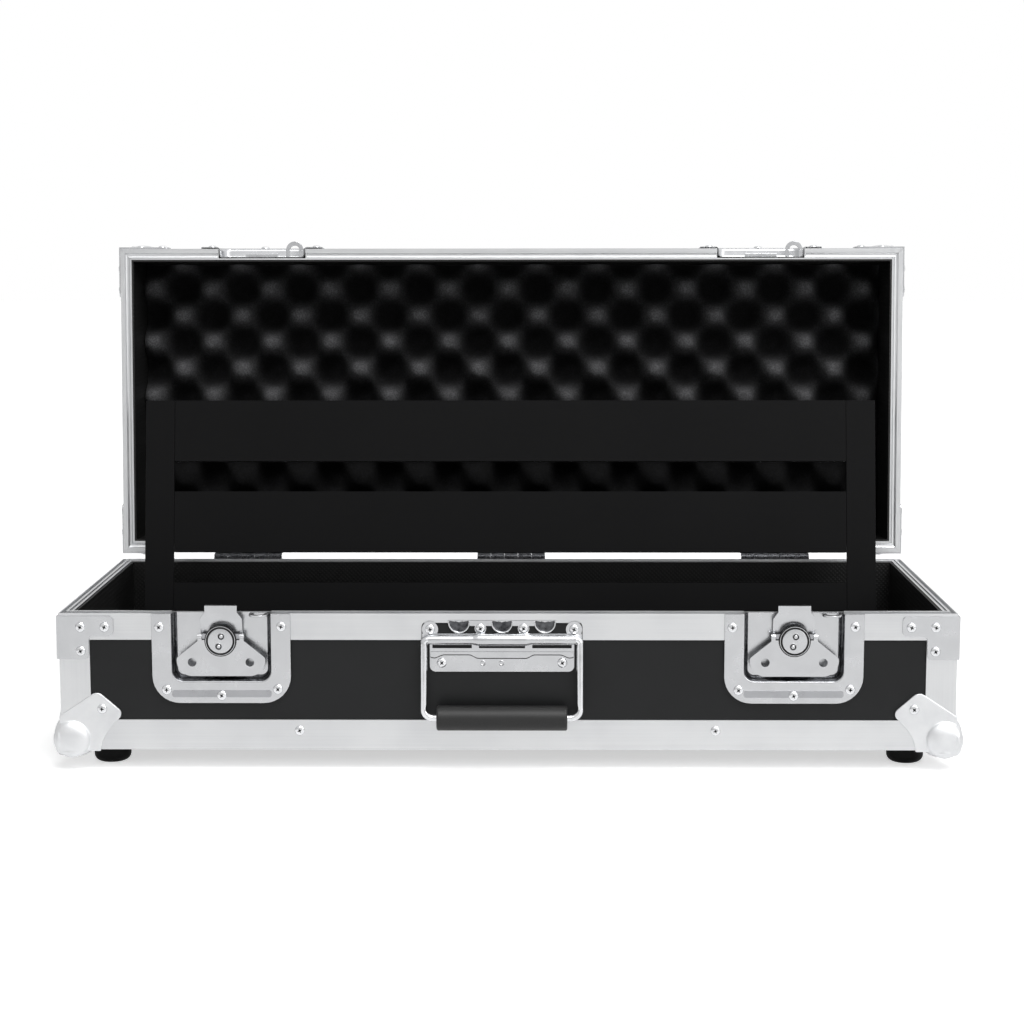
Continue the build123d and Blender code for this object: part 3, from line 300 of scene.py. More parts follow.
# ---------------------------------------------------------------- finish of the CAD nodes
def smooth_group():
    """Geometry nodes that shade gentle bends smooth."""
    tree = bpy.data.node_groups.new("smooth_gentle_bends", "GeometryNodeTree")
    for way in ("INPUT", "OUTPUT"):
        tree.interface.new_socket("Geometry", in_out=way, socket_type="NodeSocketGeometry")
    angle = add(tree, "GeometryNodeInputMeshEdgeAngle", "Unsigned Angle")
    sharp = add(tree, "FunctionNodeCompare", 0, {"A": angle, "B": math.radians(SHARP_BEND)},
                operation="GREATER_THAN")
    faces = add(tree, "GeometryNodeSetShadeSmooth", 0, {"Geometry": add(tree, "NodeGroupInput", 0)})
    edges = add(tree, "GeometryNodeSetShadeSmooth", 0,
                {"Geometry": faces, "Selection": sharp, "Shade Smooth": False}, domain="EDGE")
    add(tree, "NodeGroupOutput", None, {0: edges})
    return tree


def modify(obj, kind, **settings):
    """Adds a modifier with its settings."""
    made = obj.modifiers.new(kind.lower(), kind)
    for key, value in settings.items():
        setattr(made, key, value)


def soften(obj, width):
    """Rounds a rigid piece's edges and shades its bends smooth, with its mesh left as it is."""
    modify(obj, "WELD", merge_threshold=0.01 * MM)
    modify(obj, "DECIMATE", decimate_type="DISSOLVE", angle_limit=math.radians(FLAT_BEND))
    if width:
        modify(obj, "BEVEL", width=width * MM, segments=2, limit_method="ANGLE",
               angle_limit=math.radians(EDGE_BEND), use_clamp_overlap=True)
    modify(obj, "NODES", node_group=SMOOTH)
    modify(obj, "WEIGHTED_NORMAL", keep_sharp=True)


SMOOTH = smooth_group()
for name, node in NODES.items():
    node.data.materials.clear()
    node.data.materials.append(next(mat for part, mat in FINISHES if part in name))
    soften(node, next((width for width, parts in (SHEETS, BARS) if any(part in name for part in parts)), 0.0))


# ---------------------------------------------------------------- drawing helpers
def shown(name, data):
    """New object in the scene."""
    obj = bpy.data.objects.new(name, data)
    bpy.context.scene.collection.objects.link(obj)
    return obj


def mesh_object(bm, name):
    """New object of a bmesh that is done with."""
    mesh = bpy.data.meshes.new(name)
    bm.to_mesh(mesh)
    bm.free()
    return shown(name, mesh)


def piece(bm, name, body, materials, replaces=(), place=None, sharp=SHARP_BEND, first=None):
    """Finished piece from a bmesh drawn in millimetres, riding on its body. first is a modifier and its settings."""
    if place is not None:
        bmesh.ops.transform(bm, matrix=place, verts=bm.verts)
    bmesh.ops.scale(bm, vec=(MM, MM, MM), verts=bm.verts)
    for face in bm.faces:
        face.smooth = True
    for edge in bm.edges:
        edge.smooth = edge.calc_face_angle(0) < math.radians(sharp)
    obj = mesh_object(bm, name)
    for mat in materials:
        obj.data.materials.append(mat)
    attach(obj, body)
    if replaces:
        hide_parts(*replaces)
    if first:
        modify(obj, first[0], **first[1])
    modify(obj, "WEIGHTED_NORMAL", keep_sharp=True)
    return obj


def opened():
    """Place of a piece of the closed lid on the open lid."""
    return Matrix.Translation(HINGE_AT) @ Matrix.Rotation(-LID_OPEN, 4, "X") @ Matrix.Translation(-HINGE_AT)


def facing_front(x, y, z):
    """Place that turns a shape's top towards the front."""
    return Matrix.Translation((x, y, z)) @ Matrix.Rotation(math.radians(90), 4, "X")


def front_of(name):
    """Foremost plane of a CAD node, in millimetres."""
    return min(vert.co.y for vert in NODES[name].data.vertices) / MM


def verts_in(geom):
    """Vertices among what an operator made."""
    return [item for item in geom if isinstance(item, bmesh.types.BMVert)]


def round_edges(bm, edges, width, segments=2):
    """Bevels edges."""
    bmesh.ops.bevel(bm, geom=list(edges), offset=width, offset_type="OFFSET", segments=segments, profile=0.5,
                    affect="EDGES", material=-1, clamp_overlap=True)


def look_along(bm, way):
    """Gives an open shell even normals that look along a direction on the whole."""
    bm.normal_update()
    bmesh.ops.recalc_face_normals(bm, faces=bm.faces)
    if sum(face.normal.dot(way) * face.calc_area() for face in bm.faces) < 0:
        bmesh.ops.reverse_faces(bm, faces=bm.faces)


def rounded_plate(bm, corners, low, high, lip=0.0):
    """Plate drawn in X and Z with its corners as (x, z, cut back), thick from y = low to high. Gives its faces."""
    verts = [bm.verts.new((x, low, z)) for x, z, _ in corners]
    bm.faces.new(verts)
    made = list(verts)
    for vert, (_, _, back) in zip(verts, corners):
        if back:
            made += bmesh.ops.bevel(bm, geom=[vert], offset=back, offset_type="OFFSET", segments=8, profile=0.5,
                                    affect="VERTICES", material=-1)["verts"]
    face = next(iter({f for vert in made if vert.is_valid for f in vert.link_faces}))
    near = list(face.verts)
    far = verts_in(bmesh.ops.extrude_face_region(bm, geom=[face])["geom"])
    bmesh.ops.translate(bm, vec=(0, high - low, 0), verts=far)
    solid = {f for vert in near + far for f in vert.link_faces}
    bmesh.ops.recalc_face_normals(bm, faces=list(solid))
    if lip:
        round_edges(bm, {edge for f in solid for edge in f.edges
                         if abs(edge.verts[0].co.y - edge.verts[1].co.y) < 1e-6}, lip)
    return solid


def baked(obj):
    """Bmesh of an object with its modifiers applied, and the object removed."""
    bpy.context.view_layer.update()
    mesh = bpy.data.meshes.new_from_object(obj.evaluated_get(bpy.context.evaluated_depsgraph_get()))
    bm = bmesh.new()
    bm.from_mesh(mesh)
    bpy.data.meshes.remove(mesh)
    bpy.data.meshes.remove(obj.data)
    return bm


def joined(bm, other, place):
    """Adds a copy of another bmesh at a place; a mirrored place has its faces turned."""
    mesh = bpy.data.meshes.new("part")
    other.to_mesh(mesh)
    before = set(bm.verts)
    bm.from_mesh(mesh)
    bpy.data.meshes.remove(mesh)
    fresh = [vert for vert in bm.verts if vert not in before]
    bmesh.ops.transform(bm, matrix=place, verts=fresh)
    if place.determinant() < 0:
        bmesh.ops.reverse_faces(bm, faces=list({face for vert in fresh for face in vert.link_faces}))


def lathe(profile, steps):
    """Surface turned about Z from points of (radius, height), its normals outward."""
    bm = bmesh.new()
    verts = [bm.verts.new((x, 0, z)) for x, z in profile]
    edges = [bm.edges.new(pair) for pair in zip(verts, verts[1:])]
    bmesh.ops.spin(bm, geom=verts + edges, cent=(0, 0, 0), axis=(0, 0, 1), dvec=(0, 0, 0), angle=math.tau,
                   steps=steps, use_merge=True, use_duplicate=False)
    bmesh.ops.remove_doubles(bm, verts=bm.verts, dist=0.001)
    look_along(bm, Vector((0, 0, 1)))
    return bm


def marked(bm, low, high):
    """Gives a lathed surface its second material between two radii."""
    for face in bm.faces:
        face.material_index = int(low < face.calc_center_median().xy.length < high)


# ---------------------------------------------------------------- screws
HEAD_R = 3.8
HEAD_H = 1.7
HEAD_STEPS = 16
HEAD_ABOVE = 1.6        # a CAD screw's end over the face that its head sits on
RECESS_R = 1.5
STAR = (1.95, 1.05, 0.75, 1.05)     # cross recess: radius of four points in each quarter


def screw_head():
    """Pan head with a cross recess in painted shade, its underside at z = 0."""
    bm = lathe([(0.0, 0.3), (0.9, 0.45), (RECESS_R, HEAD_H), (2.5, HEAD_H - 0.12), (3.3, HEAD_H - 0.6),
                (HEAD_R, 0.55), (HEAD_R, -0.2)], HEAD_STEPS)
    for vert in bm.verts:
        if 0.5 < vert.co.xy.length < RECESS_R + 0.2:
            turn = round(math.atan2(vert.co.y, vert.co.x) / math.tau * HEAD_STEPS) % len(STAR)
            vert.co.xy = vert.co.xy * (STAR[turn] / RECESS_R)
    look_along(bm, Vector((0, 0, 1)))
    # painted shade: faces in the recess take the dark second material
    for face in bm.faces:
        face.material_index = int(all(vert.co.xy.length < 2.0 for vert in face.verts))
    return bm


def screw_places(node, closed):
    """Places under the heads of the screws of one CAD node, each with the way that it faces."""
    bm = bmesh.new()
    bm.from_mesh(NODES[node].data)
    bmesh.ops.scale(bm, vec=(1 / MM, 1 / MM, 1 / MM), verts=bm.verts)
    if closed:
        bmesh.ops.transform(bm, matrix=opened().inverted(), verts=bm.verts)
    bmesh.ops.remove_doubles(bm, verts=bm.verts, dist=0.005)
    places, left = [], set(bm.verts)
    while left:
        stack, island = [left.pop()], []
        while stack:
            vert = stack.pop()
            island.append(vert.co.copy())
            near = {edge.other_vert(vert) for edge in vert.link_edges} & left
            left -= near
            stack += near
        low = Vector([min(co[i] for co in island) for i in range(3)])
        high = Vector([max(co[i] for co in island) for i in range(3)])
        axis = max(range(3), key=lambda i: (high - low)[i])
        middle = (low + high) / 2
        mean = sum(co[axis] for co in island) / len(island)
        out = Vector([(1 if mean > middle[axis] else -1) if i == axis else 0 for i in range(3)])
        places.append((middle + out * ((high - low)[axis] / 2 - HEAD_ABOVE), out))
    bm.free()
    return sorted(places, key=lambda item: tuple(round(c, 2) for c in item[0]))


def screws(body, closed):
    """All screws of the base or the lid as one piece with domed, cross-recessed heads."""
    node = body + "_screws"
    bm, head = bmesh.new(), screw_head()
    for count, (under, out) in enumerate(screw_places(node, closed)):
        turn = Matrix.Rotation(math.radians(37 * count % 90), 4, "Z")
        joined(bm, head, Matrix.Translation(under) @ out.to_track_quat("Z", "Y").to_matrix().to_4x4() @ turn)
    head.free()
    piece(bm, node + "_heads", body, [CHROME, OXIDE_AND_SHADE], [node], opened() if closed else None, 50)


screws("base", False)
screws("lid", True)


# ---------------------------------------------------------------- ball corners
BALL_IN = 8.0           # the ball's middle, inside the three faces
BALL_R = 14.2
BULGE_R = 14.2          # low dome on each leaf that fills out the ball
BULGE_H = 5.4
BLOCK = 60.0            # the case's corner that is cut away
BLOCK_IN = 1.0
LEAF_T = 1.2
VOXEL = 0.5             # the union is drawn over with faces of this size
KEPT_SHARE = 0.16       # and this share of them is kept
# leaves as (x, z, cut back) from the case's corner
LEAF = ((-LEAF_T, -LEAF_T, 0), (-LEAF_T, 26.2, 1.5), (28.5, 46.0, 5.0), (48.6, 28.4, 5.0), (33.0, 12.0, 7.0),
        (30.0, -LEAF_T, 0))
LOWER_LEAF = ((-LEAF_T, -LEAF_T, 0), (-LEAF_T, 23.3, 2.0), (23.3, 23.3, 9.0), (23.3, -LEAF_T, 2.0))


def swapped(first, second):
    """Mirror that exchanges two axes."""
    rows = list(Matrix.Identity(4))
    rows[first], rows[second] = rows[second], rows[first]
    return Matrix(rows)


def ball(place):
    """Unit ball brought to its size and place, as an object to cut with."""
    bm = bmesh.new()
    bmesh.ops.create_uvsphere(bm, u_segments=48, v_segments=24, radius=1.0)
    bmesh.ops.transform(bm, matrix=place, verts=bm.verts)
    bmesh.ops.recalc_face_normals(bm, faces=bm.faces)
    return mesh_object(bm, "ball")


def ball_corner():
    """Pressed ball corner: three leaves that flow into a ball, drawn at the corner of a block in +X +Y +Z."""
    middle = Vector((BALL_IN, BALL_IN, BALL_IN))
    whole = ball(Matrix.Translation(middle) @ Matrix.Diagonal((BALL_R, BALL_R, BALL_R, 1)))
    tools = []
    for turn, corners in ((swapped(0, 0), LEAF), (swapped(0, 1), LEAF), (swapped(1, 2), LOWER_LEAF)):
        bm = bmesh.new()
        rounded_plate(bm, corners, -LEAF_T, BLOCK_IN)
        bmesh.ops.transform(bm, matrix=turn, verts=bm.verts)
        bmesh.ops.recalc_face_normals(bm, faces=bm.faces)
        tools.append((mesh_object(bm, "leaf"), "UNION"))
        bulge = facing_front(BALL_IN, -LEAF_T, BALL_IN) @ Matrix.Diagonal((BULGE_R, BULGE_R, BULGE_H, 1))
        tools.append((ball(turn @ bulge), "UNION"))
    bm = bmesh.new()
    bmesh.ops.create_cube(bm, size=BLOCK)
    bmesh.ops.translate(bm, vec=[BLOCK_IN + BLOCK / 2] * 3, verts=bm.verts)
    tools.append((mesh_object(bm, "block"), "DIFFERENCE"))
    for tool, how in tools:
        modify(whole, "BOOLEAN", operation=how, object=tool, solver="EXACT")
    modify(whole, "REMESH", mode="VOXEL", voxel_size=VOXEL)
    modify(whole, "SMOOTH", factor=0.5, iterations=5)
    modify(whole, "DECIMATE", ratio=KEPT_SHARE)
    bm = baked(whole)
    for tool, _ in tools:
        bpy.data.meshes.remove(tool.data)
    return bm


def ball_corners(name, body, far, side):
    """The four ball corners of the base (side -1) or of the closed lid (side 1)."""
    bm = bmesh.new()
    for sx in (-1, 1):
        for sy in (-1, 1):
            place = Matrix.Translation((sx * HALF_W, sy * HALF_D, far)) @ Matrix.Diagonal((-sx, -sy, -side, 1))
            joined(bm, CORNER, place)
    piece(bm, name, body, [SATIN], [body + "_ball_corners"], opened() if side > 0 else None, 70)


CORNER = ball_corner()
ball_corners("base_balls", "base", Z_LOW, -1)
ball_corners("lid_balls", "lid", Z_TOP, 1)
CORNER.free()


# ---------------------------------------------------------------- latch dishes
SEAT = 0.3              # air between the closed rims
DISH_T = 0.9
DISH_HALF = 53.0        # half width of the flange
POCKET_HALF = 36.6
POCKET_DEEP = 7.0       # front face to the pocket's floor
BASE_DISH = (69.5, 21.0, 51.0)  # parting plane to the flange's lower edge, its rounding, and to the pocket's edge
LID_DISH = (32.0, 12.0, 22.0)
POCKET_LOOPS = (        # loops round the pocket from its lip to its floor: grown by, rounding, y
    (2.6, 9.6, FLANGE_Y), (1.5, 8.5, FLANGE_Y + 0.3), (0.5, 7.6, FLANGE_Y + 1.2), (0.0, 7.2, FLANGE_Y + 2.6),
    (-0.3, 6.9, FRONT + 5.2), (-0.9, 6.3, FRONT + 6.5), (-2.2, 5.0, FRONT + POCKET_DEEP))
WALL_LOOP = 5           # from this loop on the base's pocket walls take painted shade


def u_loop(half, drop, rounding, steps=8):
    """Points of an open U from the parting plane round a pocket, as (x, distance from the plane)."""
    points = [(-half, SEAT), (-half, (drop - rounding) * 0.5)]
    for sx, turn in ((-1, 180), (1, 270)):
        for step in range(steps + 1):
            angle = math.radians(turn + 90 * step / steps)
            points.append((sx * (half - rounding) + rounding * math.cos(angle),
                           drop - rounding - rounding * math.sin(angle)))
    return points + [(half, (drop - rounding) * 0.5), (half, SEAT)]


def pressed_dish(label, body, x, side, drop, rounding, pocket_drop):
    """Sheet-steel dish: a flange, a rolled lip and a deep pocket open towards the parting plane."""
    bm = bmesh.new()
    loops = [(DISH_HALF, drop, rounding, FRONT), (DISH_HALF, drop, rounding, FLANGE_Y + 0.4),
             (DISH_HALF - 0.4, drop - 0.4, rounding - 0.3, FLANGE_Y)]
    loops += [(POCKET_HALF + grown, pocket_drop + grown, bend, y) for grown, bend, y in POCKET_LOOPS]
    verts = []
    for number, (wide, deep, bend, y) in enumerate(loops):
        spots = [(x + px, y, Z_PART + side * down) for px, down in u_loop(wide, deep, bend)]
        if not verts:
            verts = [bm.verts.new(spot) for spot in spots]
            edges = [bm.edges.new(pair) for pair in zip(verts, verts[1:])]
            continue
        made = bmesh.ops.extrude_edge_only(bm, edges=edges)["geom"]
        for face in (item for item in made if isinstance(item, bmesh.types.BMFace)):
            # painted shade: the base pocket's walls get the darker plating
            face.material_index = int(side < 0 and number >= WALL_LOOP)
        fresh = set(verts_in(made))
        verts = [next(iter({edge.other_vert(vert) for edge in vert.link_edges} & fresh)) for vert in verts]
        edges = [bm.edges.get(pair) for pair in zip(verts, verts[1:])]
        for vert, spot in zip(verts, spots):
            vert.co = spot
    bm.faces.new(verts)
    look_along(bm, Vector((0, -1, 0)))
    piece(bm, "pressed_" + label, body, [PLATED, SHADED_PLATING], [label], opened() if side > 0 else None, 60,
          ("SOLIDIFY", {"thickness": DISH_T * MM, "offset": -1}))


EYE_X = 28.8            # padlock eye right of the latch's middle
EYE_R = 7.6
EYE_HOLE = 4.0
EYE_OUT = 6.4           # its foremost point over the front face
EYE_T = 1.5
EYE_UP = 1.35           # its middle from the parting plane
EYE_EDGE = 0.25


def padlock_eye(name, body, x, side):
    """Half-round tab with a padlock hole, standing across the pocket."""
    bm = bmesh.new()
    centre = Vector((x + EYE_X, FRONT - EYE_OUT + EYE_R, Z_PART + side * EYE_UP))
    ring = [(EYE_HOLE, -EYE_T / 2), (EYE_R, -EYE_T / 2), (EYE_R, EYE_T / 2), (EYE_HOLE, EYE_T / 2)]
    face = bm.faces.new([bm.verts.new(centre + Vector((radius, 0, z))) for radius, z in ring])
    bmesh.ops.spin(bm, geom=[face], cent=centre, axis=(0, 0, -1), dvec=(0, 0, 0), angle=math.pi, steps=24,
                   use_merge=False, use_duplicate=False)
    deep = FRONT + POCKET_DEEP - centre.y
    for sx in (-1, 1):
        leg = bmesh.ops.create_cube(bm, size=1)["verts"]
        bmesh.ops.scale(bm, vec=(EYE_R - EYE_HOLE, deep, EYE_T), verts=leg)
        bmesh.ops.translate(bm, vec=centre + Vector((sx * (EYE_R + EYE_HOLE) / 2, deep / 2, 0)), verts=leg)
    bmesh.ops.recalc_face_normals(bm, faces=bm.faces)
    piece(bm, name, body, [PLATED], (), opened() if side > 0 else None,
          first=("BEVEL", {"width": EYE_EDGE * MM, "segments": 2}))


KEEPER = (28.0, 2.8, 2.0)
KEEPER_EDGE = 0.4
KEEPER_AT = (5.8, 2.0)  # its middle behind the front face and over the parting plane


def keeper_bar(name, x):
    """Bar across the lid's pocket that the tongue pulls on."""
    bm = bmesh.new()
    bmesh.ops.create_cube(bm, size=1)
    bmesh.ops.scale(bm, vec=KEEPER, verts=bm.verts)
    bmesh.ops.translate(bm, vec=(x, FRONT + KEEPER_AT[0], Z_PART + KEEPER_AT[1]), verts=bm.verts)
    round_edges(bm, bm.edges, KEEPER_EDGE)
    piece(bm, name, "lid", [PLATED], (), opened())


HUB_DROP = 20.5         # parting plane to the hub's axis
HUB_R = 10.4
RIVETS = ((0.7, 3.5), (-1.3, -4.2))     # from the hub's axis
RIVET = ((0, 0.95), (1.0, 0.9), (1.4, 0.65), (2.2, 0.65), (2.4, 0.9), (2.7, 0.8), (2.9, 0.5))


def hub_face(name, body, x):
    """Turned face of a latch hub: a ring groove and rivet grooves in painted shade, two rivets, and a dark ring of
    painted shadow as the gap round it.
    """
    bm = lathe([(0, 0.6), (HUB_R - 1.9, 0.6), (HUB_R - 1.0, 0.25), (HUB_R - 0.9, 0.05), (HUB_R + 0.3, 0.05),
                (HUB_R + 0.5, 0.3), (HUB_R + 0.9, 0.2), (HUB_R + 1.1, -0.5)], TURNED)
    # painted shade in the ring groove
    marked(bm, HUB_R - 1.0, HUB_R + 0.4)
    # dark ring of painted shadow in the gap round the hub
    gap = lathe([(HUB_R + 1.0, -0.4), (HUB_R + 1.7, -0.4), (HUB_R + 1.7, -0.5)], TURNED)
    marked(gap, 0, HUB_R + 2.0)
    joined(bm, gap, Matrix.Identity(4))
    rivet = lathe(RIVET, TURNED_SMALL)
    # painted shade in the rivets' grooves
    marked(rivet, 1.2, 2.3)
    for spot in RIVETS:
        joined(bm, rivet, Matrix.Translation((*spot, 0)))
    gap.free()
    rivet.free()
    piece(bm, name, body, [PLATED, OXIDE_AND_SHADE], (), facing_front(x, front_of(body), Z_PART - HUB_DROP), 25)


BEAD_HALF = 38.0
BEAD_DROP = (59.3, 64.8)    # upper and lower edge from the parting plane
BEAD_ROUND = 2.0


def rolled_bead(name, x):
    """Flat stiffening bead rolled into the lower band of a latch flange."""
    bm = bmesh.new()
    high, low = (Z_PART - drop for drop in BEAD_DROP)
    corners = [(x + sx * BEAD_HALF, z, BEAD_ROUND) for sx, z in ((-1, low), (-1, high), (1, high), (1, low))]
    rounded_plate(bm, corners, FLANGE_Y - 0.3, FLANGE_Y + 0.2, lip=0.2)
    piece(bm, name, "base", [ROLLED])


for label, where in (("left", -LATCH_X), ("right", LATCH_X)):
    hub_face(f"{label}_hub_face", f"{label}_latch_hub", where)
    rolled_bead(f"{label}_flange_bead", where)
    pressed_dish(f"{label}_latch_dish", "base", where, -1, *BASE_DISH)
    pressed_dish(f"{label}_lid_dish", "lid", where, 1, *LID_DISH)
    padlock_eye(f"{label}_base_padlock_eye", "base", where, -1)
    padlock_eye(f"{label}_lid_padlock_eye", "lid", where, 1)
    keeper_bar(f"{label}_keeper_bar", where)


# ---------------------------------------------------------------- handle
CUP_SPACING = 32.7
CUP_DROP = 7.0          # parting plane to the cups' centres
CUP_TOP = 1.2           # the cups end this far over their centres
CUP = ((0, -0.8), (3.0, -0.78), (5.6, -0.68), (6.9, -0.35), (7.3, 0.15), (7.7, 0.4), (8.2, 0.3), (8.4, 0.0))
CUP_SHADED = 7.1          # radius of the painted shade inside
FLAP = ((54.6, 29.4, 0), (54.6, 33.6, 0.8), (51.0, 34.1, 0.8), (45.2, 31.6, 1.2), (24.0, 31.6, 1.2),
        (19.0, 34.3, 1.2))      # half of the folded flap: from the middle, drop, rounding
FLAP_OUT = 0.75         # flap over the front face
FLAP_SHADE = (0.7, 0.3)     # plate of painted shadow under it: lower, and over the front face
DIMPLES = ((-14.6, 38.3), (-0.4, 38.3))     # from the middle, drop
DIMPLE = ((0, -0.6), (0.8, -0.5), (1.3, 0.1), (1.8, 0.3), (2.2, 0.0))
DIMPLE_DARK = 1.2       # radius of the painted shade in the bottom
IN_PLATE = 0.1          # how far pressed plates reach into the panel


def handle_cups():
    """Pressed half-round bowls under the top edge of the handle plate, with painted shade inside and bright rims."""
    bowl = lathe(CUP, TURNED)
    bmesh.ops.delete(bowl, geom=[vert for vert in bowl.verts if vert.co.y > CUP_TOP], context="VERTS")
    # painted shade inside the bowls
    marked(bowl, -1, CUP_SHADED)
    bm = bmesh.new()
    for side in (-1, 0, 1):
        joined(bm, bowl, facing_front(HANDLE_X + side * CUP_SPACING, FRONT - 0.05, Z_PART - CUP_DROP))
    bowl.free()
    piece(bm, "handle_cup_bowls", "base", [PLATED, SHADED_PLATING], sharp=45)


def handle_flap():
    """Folded flap over the top of the lower plate with its wavy edge and a dark plate of painted shadow under that
    edge, and two dimples under it with painted shade in their bottoms.
    """
    bm = bmesh.new()
    corners = [(HANDLE_X - x, Z_PART - drop, back) for x, drop, back in FLAP]
    corners += [(HANDLE_X + x, Z_PART - drop, back) for x, drop, back in reversed(FLAP)]
    lower, out = FLAP_SHADE
    # painted shadow: a dark plate, a little lower than the flap, shows as a line under its edge
    for face in rounded_plate(bm, [(x, z - lower, back) for x, z, back in corners], FRONT - out, FRONT + IN_PLATE):
        face.material_index = 1
    rounded_plate(bm, corners, FRONT - FLAP_OUT, FRONT + IN_PLATE, lip=0.25)
    dimple = lathe(DIMPLE, TURNED_SMALL)
    # painted shade in the dimples' bottoms
    marked(dimple, -1, DIMPLE_DARK)
    for x, drop in DIMPLES:
        joined(bm, dimple, facing_front(HANDLE_X + x, FRONT, Z_PART - drop))
    dimple.free()
    piece(bm, "handle_flap", "base", [PLATED, OXIDE_AND_SHADE])


handle_cups()
handle_flap()


# ---------------------------------------------------------------- feet
FOOT_AT = (310.0, 96.0)
FOOT_R = 14.3
FOOT_DOME = 5.6         # rounding of the lower edge
FOOT_HOLE = (5.2, 4.4)  # radius and depth of the sunk hole for the screw


def rubber_feet():
    """Turned rubber feet: a domed lower edge, a flat sole and a sunk hole for the screw."""
    hole, deep = FOOT_HOLE
    turns = [math.radians(turn) for turn in range(0, 91, 15)]
    dome = [(FOOT_R - FOOT_DOME * (1 - math.sin(turn)), FOOT_DOME * (1 - math.cos(turn))) for turn in turns]
    foot = lathe([(hole, deep), (hole, 0.5), (hole + 0.5, 0.0), *dome, (FOOT_R + 0.3, Z_LOW - 0.4),
                  (FOOT_R, Z_LOW), (hole, Z_LOW)], TURNED)
    bm = bmesh.new()
    for sx in (-1, 1):
        for sy in (-1, 1):
            joined(bm, foot, Matrix.Translation((sx * FOOT_AT[0], sy * FOOT_AT[1], 0)))
    foot.free()
    bmesh.ops.recalc_face_normals(bm, faces=bm.faces)
    piece(bm, "turned_rubber_feet", "base", [RUBBER], ["rubber_feet"])


rubber_feet()


# ---------------------------------------------------------------- lid foam and lid rim
WALL_IN = 11.7          # outer face to the foam's edge
REACH = (HALF_W - WALL_IN, HALF_D - WALL_IN)
FOAM_BACK = Z_TOP - 8.5     # back of the lid's foam
FOAM_BED = 2.0          # solid bed under the valleys
FOAM_TIPS = 24.0        # bed and peaks together
FOAM_STEP = 2.2         # size of a face
CELL_X = 53.1           # distance between peaks in a row
CELL_Y = 49.4           # distance between every second row
PEAK_AT = (-3.7, -1.9)  # one peak of the chequer
SHADED_FROM = 14.0         # peaks nearer the hinge than this get no painted highlight: painted shade where the board shadows the foam
SHADE_FADE = 24.0
PEAK_POWER = 1.5        # makes the peaks narrower than the hollows
CAP_LIGHT_POWER = 1.6        # keeps the painted highlight near the top of each peak


def egg_crate():
    """Convoluted foam in the lid: rounded peaks and hollows in a chequer, cut straight at its edges."""
    bm = bmesh.new()
    columns, rows = (round(2 * reach / FOAM_STEP) for reach in REACH)
    bmesh.ops.create_grid(bm, x_segments=columns, y_segments=rows, size=1.0)
    bmesh.ops.scale(bm, vec=(*REACH, 1), verts=bm.verts)
    # painted light: how much paler each vertex is painted, high on the peaks' caps and faded out towards the hinge as
    # painted shade
    painted_cap_light = bm.verts.layers.float.new("painted_cap_light")
    for vert in bm.verts:
        across = math.cos(math.tau * (vert.co.x - PEAK_AT[0]) / CELL_X)
        along = math.cos(math.tau * (vert.co.y - PEAK_AT[1]) / CELL_Y)
        share = (0.5 + 0.5 * across * along) ** PEAK_POWER
        share = share * share * (3 - 2 * share)
        vert[painted_cap_light] = share ** CAP_LIGHT_POWER * min(1.0, max(0.0, (SHADED_FROM - vert.co.y) / SHADE_FADE))
        vert.co.z = FOAM_BACK - FOAM_BED - (FOAM_TIPS - FOAM_BED) * share
    made = bmesh.ops.extrude_edge_only(bm, edges=[edge for edge in bm.edges if edge.is_boundary])["geom"]
    for vert in verts_in(made):
        vert.co.z = FOAM_BACK
    bmesh.ops.holes_fill(bm, edges=[edge for edge in bm.edges if edge.is_boundary], sides=0)
    bmesh.ops.recalc_face_normals(bm, faces=bm.faces)
    obj = piece(bm, "egg_crate_foam", "lid", [FOAM], ["lid_foam"], opened())


CHANNEL_IN = (4.0, 8.0)     # the lid rim's groove, from the outer faces
CHANNEL_UP = 0.1            # its mouth over the parting plane
CHANNEL_DEEP = 1.5
CHANNEL_GAP = 39.0          # half of the gap that a lid dish leaves in the front channel


def channel(bm, start, end, inward, mitres=(1, 1)):
    """Straight length of a half-round channel in the lid rim's groove, mitred at the ends marked 1."""
    start, end, inward, up = Vector(start), Vector(end), Vector(inward), Vector((0, 0, 1))
    half = (CHANNEL_IN[1] - CHANNEL_IN[0]) / 2
    centre = start + inward * half + up * CHANNEL_UP
    before = set(bm.verts)
    lip = bm.verts.new(centre - inward * half)
    bmesh.ops.spin(bm, geom=[lip], cent=centre, axis=up.cross(inward), dvec=(0, 0, 0), angle=math.pi, steps=8,
                   use_merge=False, use_duplicate=False)
    near = [vert for vert in bm.verts if vert not in before]
    for vert in near:
        vert.co.z = centre.z + (vert.co.z - centre.z) * CHANNEL_DEEP / half
    far = verts_in(bmesh.ops.extrude_edge_only(bm, edges=list({e for vert in near for e in vert.link_edges}))["geom"])
    bmesh.ops.translate(bm, vec=end - start, verts=far)
    along = (end - start).normalized()
    for verts, mitre in ((near, mitres[0]), (far, -mitres[1])):
        for vert in verts:
            vert.co += along * mitre * (vert.co - start).dot(inward)


